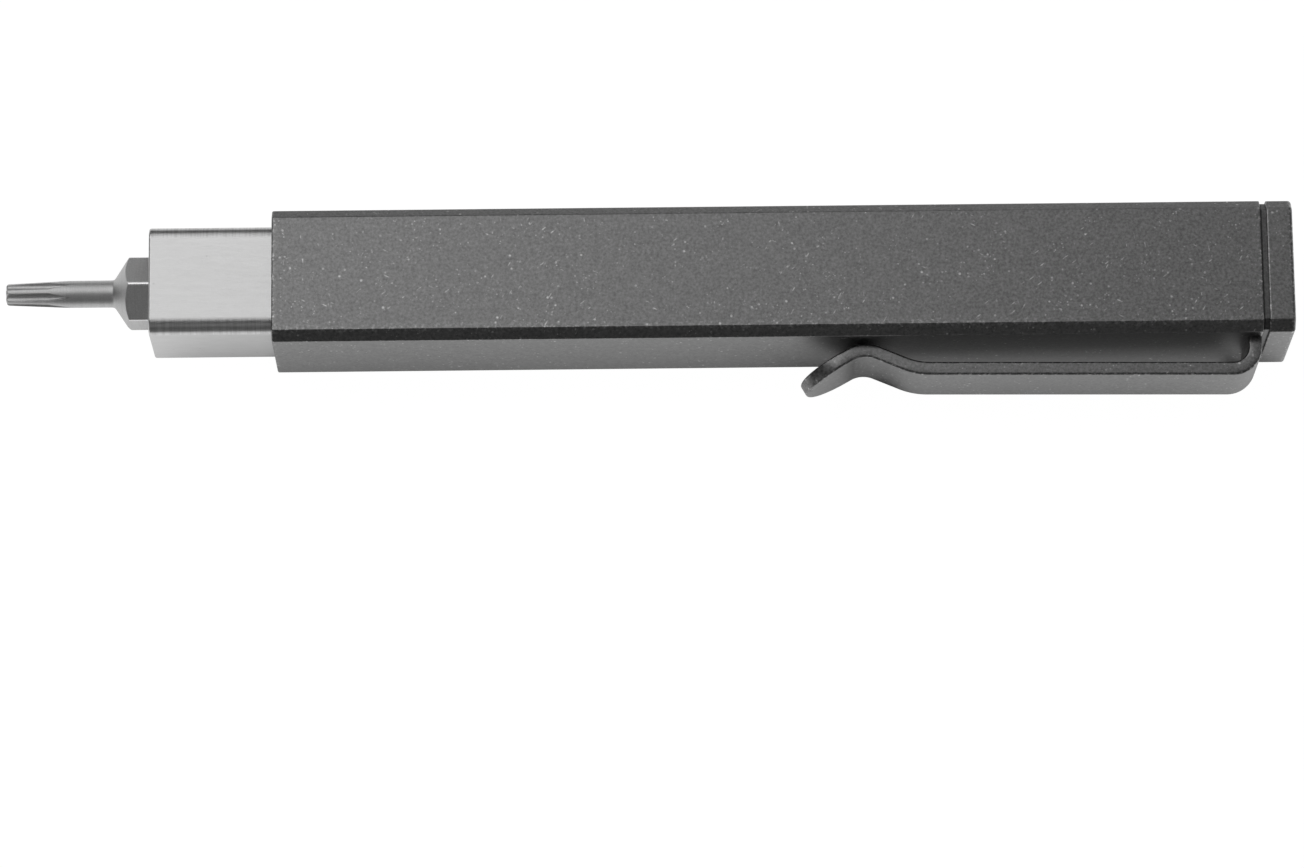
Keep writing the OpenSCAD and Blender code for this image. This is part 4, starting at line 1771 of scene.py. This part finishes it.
@dataclass
class Studio:
    """White floor, soft lamps, a dim world and the camera.

    Attributes:
        camera_place: Place of the camera, in millimetres.
        camera_turn_deg: Its turns about X, Y and Z.
        lens: Focal length, in millimetres.
        sensor: Width of the sensor, in millimetres.
        near: Distance from the camera at which it starts to see, in metres.
        camera_glow: Strength of the floor's glow to the camera, where 1 is white.
        camera_share: Share of the glow in what the camera sees of the floor.
        metal_share: Share of the glow in what metal mirrors of the floor.
        floor_reach: Half the floor's side, in metres.
        floor_gap: Gap between the tool and the floor.
        floor_grey: Grey of the floor's own surface.
        far_glow: Strength of the mirrored glow far from the tool.
        clip_side_glow: Its strength near the tool on the clip's side.
        clip_side_bright: Distance up to which the floor on the clip's side glows fully.
        clip_side_dark: Distance past which it is dim.
        back_side_bright: The same on the other side.
        back_side_dark: The same on the other side.
        shade_reach: Distance within which what stands over the floor dims its glow.
        shade_span: Shares of open sky at which the mirrored glow is gone and full.
        touch: Gap below which the floor lets light through, so that the underside is lit.
        gap_front: X over which the floor between sleeve and clip begins.
        gap_rear: X over which it ends.
        gap_across: Y under the clip's strip and Y beside the sleeve.
        gap_glow: The floor's share of the glow at these two.
        gap_outside: Y over which the clip's outer face ends it.
        gap_inside: Y over which the sleeve's face ends it.
        world_level: Strength of the world in what isn't the camera's own view.
        lamps: The soft boxes.
    """

    camera_place: Triple = (-14.923, -166.084, 591.203)
    camera_turn_deg: Triple = (14.539, -0.2002, -0.668)
    lens: float = 174.22
    sensor: float = 36.0
    near: float = 0.01
    camera_glow: float = 1.1
    camera_share: float = 0.9
    metal_share: float = 0.9
    floor_reach: float = 3.0
    floor_gap: float = 0.05
    floor_grey: float = 0.9
    far_glow: float = 0.12
    clip_side_glow: float = 0.95
    clip_side_bright: float = 20.0
    clip_side_dark: float = 50.0
    back_side_bright: float = 10.0
    back_side_dark: float = 100.0
    shade_reach: float = 14.0
    shade_span: Pair = (0.1, 0.9)
    touch: float = 0.15
    gap_front: Pair = (8.0, 11.0)
    gap_rear: Pair = (43.5, 45.5)
    gap_across: Pair = (-9.3, -6.8)
    gap_glow: Pair = (0.03, 0.48)
    gap_outside: Pair = (-10.4, -10.2)
    gap_inside: Pair = (-6.5, -6.0)
    world_level: float = 0.05
    lamps: tuple[Lamp, ...] = (
        Lamp("overhead", (-0.265, 0.27, 0.62), (0.67, 0.5), 1.32),
        Lamp("overhead_right", (0.31, 0.27, 0.62), (0.38, 0.5), 0.42),
        Lamp("left_side", (-0.8, -0.5, 0.35), (0.5, 0.4), 0.5),
        Lamp("right_side", (0.8, -0.5, 0.35), (0.5, 0.4), 0.5),
        Lamp("back", (0.2, 0.8, 0.25), (0.7, 0.35), 0.42),
        Lamp("back_high", (-0.1, 0.62, 0.5), (0.25, 1.0), 0.4),
        Lamp("below", (0.0, 0.0, -0.6), (0.8, 0.8), 0.55),
        Lamp("front", (0.0, -1.0, 0.26), (0.4, 2.0), 0.08),
        Lamp("front_high", (-0.05, -0.6, 0.62), (0.4, 1.2), 0.17),
        Lamp("cap_side", (0.9, 0.1, 0.25), (0.35, 0.6), 0.4),
    )

    def build(self) -> None:
        """Sets up everything that isn't part of the object."""
        self._camera()
        self._floor()
        self._world()
        for lamp in self.lamps:
            lamp.hang()
        bpy.context.scene.view_settings.view_transform = "Standard"

    def _camera(self) -> None:
        """Places the camera at the photograph's viewing angle."""
        data = bpy.data.cameras.new("camera")
        data.sensor_fit = "HORIZONTAL"
        data.sensor_width = self.sensor
        data.lens = self.lens
        data.clip_start = self.near
        camera = bpy.data.objects.new("camera", data)
        camera.location = [c * MM for c in self.camera_place]
        camera.rotation_euler = Euler([math.radians(a) for a in self.camera_turn_deg], "XYZ")
        bpy.context.scene.collection.objects.link(camera)
        bpy.context.scene.camera = camera

    def _floor(self) -> None:
        """Lays the white floor just under the tool; it is open from below and right under the tool."""
        mesh = bpy.data.meshes.new("floor")
        reach, height = self.floor_reach, -self.floor_gap * MM
        corners = [(x * reach, y * reach, height) for x, y in ((-1, -1), (1, -1), (1, 1), (-1, 1))]
        mesh.from_pydata(corners, [], [(0, 1, 2, 3)])
        floor = bpy.data.objects.new("floor", mesh)
        bpy.context.scene.collection.objects.link(floor)
        mesh.materials.append(self._floor_material())

    def _floor_material(self) -> bpy.types.Material:
        """Makes the floor white to the camera, and in the metal bright near the tool and dim far off.

        The glow that metal mirrors fades with the distance from the tool on each side, and where
        the tool or its clip stands over the floor.

        Returns:
            The material.
        """
        n = Nodes("floor_white")
        n.tree.nodes.remove(n.shader)
        new = n.tree.nodes.new
        matt, glow = new("ShaderNodeBsdfDiffuse"), new("ShaderNodeEmission")
        matt.inputs["Color"].default_value = (*[self.floor_grey] * 3, 1)
        rays, side = new("ShaderNodeLightPath"), new("ShaderNodeNewGeometry")
        to_camera = rays.outputs["Is Camera Ray"]
        strength = n.greatest(n.times(to_camera, self.camera_glow), self._mirrored_glow(n))
        n.plug(glow.inputs["Strength"], strength)
        in_metal = n.times(rays.outputs["Is Glossy Ray"], self.metal_share)
        share = n.greatest(n.times(to_camera, self.camera_share), in_metal)
        short = n.ramp(rays.outputs["Ray Length"], self.touch * MM, 2 * self.touch * MM, 1.0, 0.0)
        short = n.times(short, n.math("SUBTRACT", 1.0, to_camera))
        lit = self._mixed(n, share, matt.outputs[0], glow.outputs[0])
        clear = new("ShaderNodeBsdfTransparent").outputs[0]
        shown = self._mixed(n, n.greatest(side.outputs["Backfacing"], short), lit, clear)
        n.plug(n.output.inputs["Surface"], shown)
        return n.material

    def _mixed(self, n: Nodes, share: Socket, first: Socket, second: Socket) -> Socket:
        """Mixes two shaders.

        Args:
            n: The material's nodes.
            share: Share of the second.
            first: The first shader.
            second: The second shader.

        Returns:
            The mixed shader.
        """
        mix = n.tree.nodes.new("ShaderNodeMixShader")
        for socket, value in zip(mix.inputs, (share, first, second)):
            n.plug(socket, value)
        return mix.outputs[0]

    def _mirrored_glow(self, n: Nodes) -> Socket:
        """Builds the glow that metal mirrors, by place and by how much stands over the floor.

        Args:
            n: The material's nodes.

        Returns:
            Its strength.
        """
        place = n.tree.nodes.new("ShaderNodeSeparateXYZ")
        n.plug(place.inputs[0], n.place)
        y = place.outputs["Y"]
        dark, bright = -self.clip_side_dark, -self.clip_side_bright
        clip_side = n.ramp(y, dark, bright, self.far_glow, self.clip_side_glow)
        back_side = n.ramp(y, self.back_side_dark, self.back_side_bright, self.far_glow, 1.0)
        open_sky = n.tree.nodes.new("ShaderNodeAmbientOcclusion")
        open_sky.inputs["Distance"].default_value = self.shade_reach * MM
        shade = n.ramp(open_sky.outputs["AO"], *self.shade_span)
        return n.times(clip_side, back_side, self._gap_shade(n, place, shade))

    def _gap_shade(self, n: Nodes, place: bpy.types.Node, shade: Socket) -> Socket:
        """Lets the floor between sleeve and clip be brightest beside the sleeve.

        Args:
            n: The material's nodes.
            place: The place on the floor, split into X, Y and Z.
            shade: The shade of the open floor.

        Returns:
            The shade with the gap's own in its place there.
        """
        x, y = place.outputs["X"], place.outputs["Y"]
        along = n.times(n.ramp(x, *self.gap_front), n.ramp(x, *self.gap_rear, 1.0, 0.0))
        across = n.times(n.ramp(y, *self.gap_outside), n.ramp(y, *self.gap_inside, 1.0, 0.0))
        within = n.times(along, across)
        own = n.times(n.ramp(y, *self.gap_across, *self.gap_glow), within)
        return n.math("ADD", own, n.times(shade, n.math("SUBTRACT", 1.0, within)))

    def _world(self) -> None:
        """Makes a dim grey world that the camera sees as white."""
        world = bpy.data.worlds.new("studio")
        bpy.context.scene.world = world
        world.use_nodes = True
        tree = world.node_tree
        tree.nodes.clear()
        rays = tree.nodes.new("ShaderNodeLightPath")
        level = tree.nodes.new("ShaderNodeMapRange")
        level.inputs["To Min"].default_value = self.world_level
        level.inputs["To Max"].default_value = 1.0
        sky = tree.nodes.new("ShaderNodeBackground")
        output = tree.nodes.new("ShaderNodeOutputWorld")
        tree.links.new(rays.outputs["Is Camera Ray"], level.inputs["Value"])
        tree.links.new(level.outputs["Result"], sky.inputs["Strength"])
        tree.links.new(sky.outputs["Background"], output.inputs["Surface"])


def main() -> None:
    """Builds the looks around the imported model, piece by piece."""
    logging.basicConfig(level=logging.INFO, format="%(name)s: %(message)s")
    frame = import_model()
    low, high = node_box("sleeve")
    finishes = Finishes((low[2] + high[2]) / 2)
    flex = next(j for j in frame["joints"] if j["child"] == Body.CLIP_ARM.value)
    clip = PocketClip(pivot=tuple(flex["pos_m"]))
    for part in (Sleeve(), EndCap(), CapScrew(), clip, BitBar(), DriverBit()):
        piece = part.build(finishes)
        log.info("built %s with %d faces", piece.name, len(piece.data.polygons))
    Inside().dress(frame["nodes"], finishes)
    Studio().build()


if __name__ == "__main__":
    main()
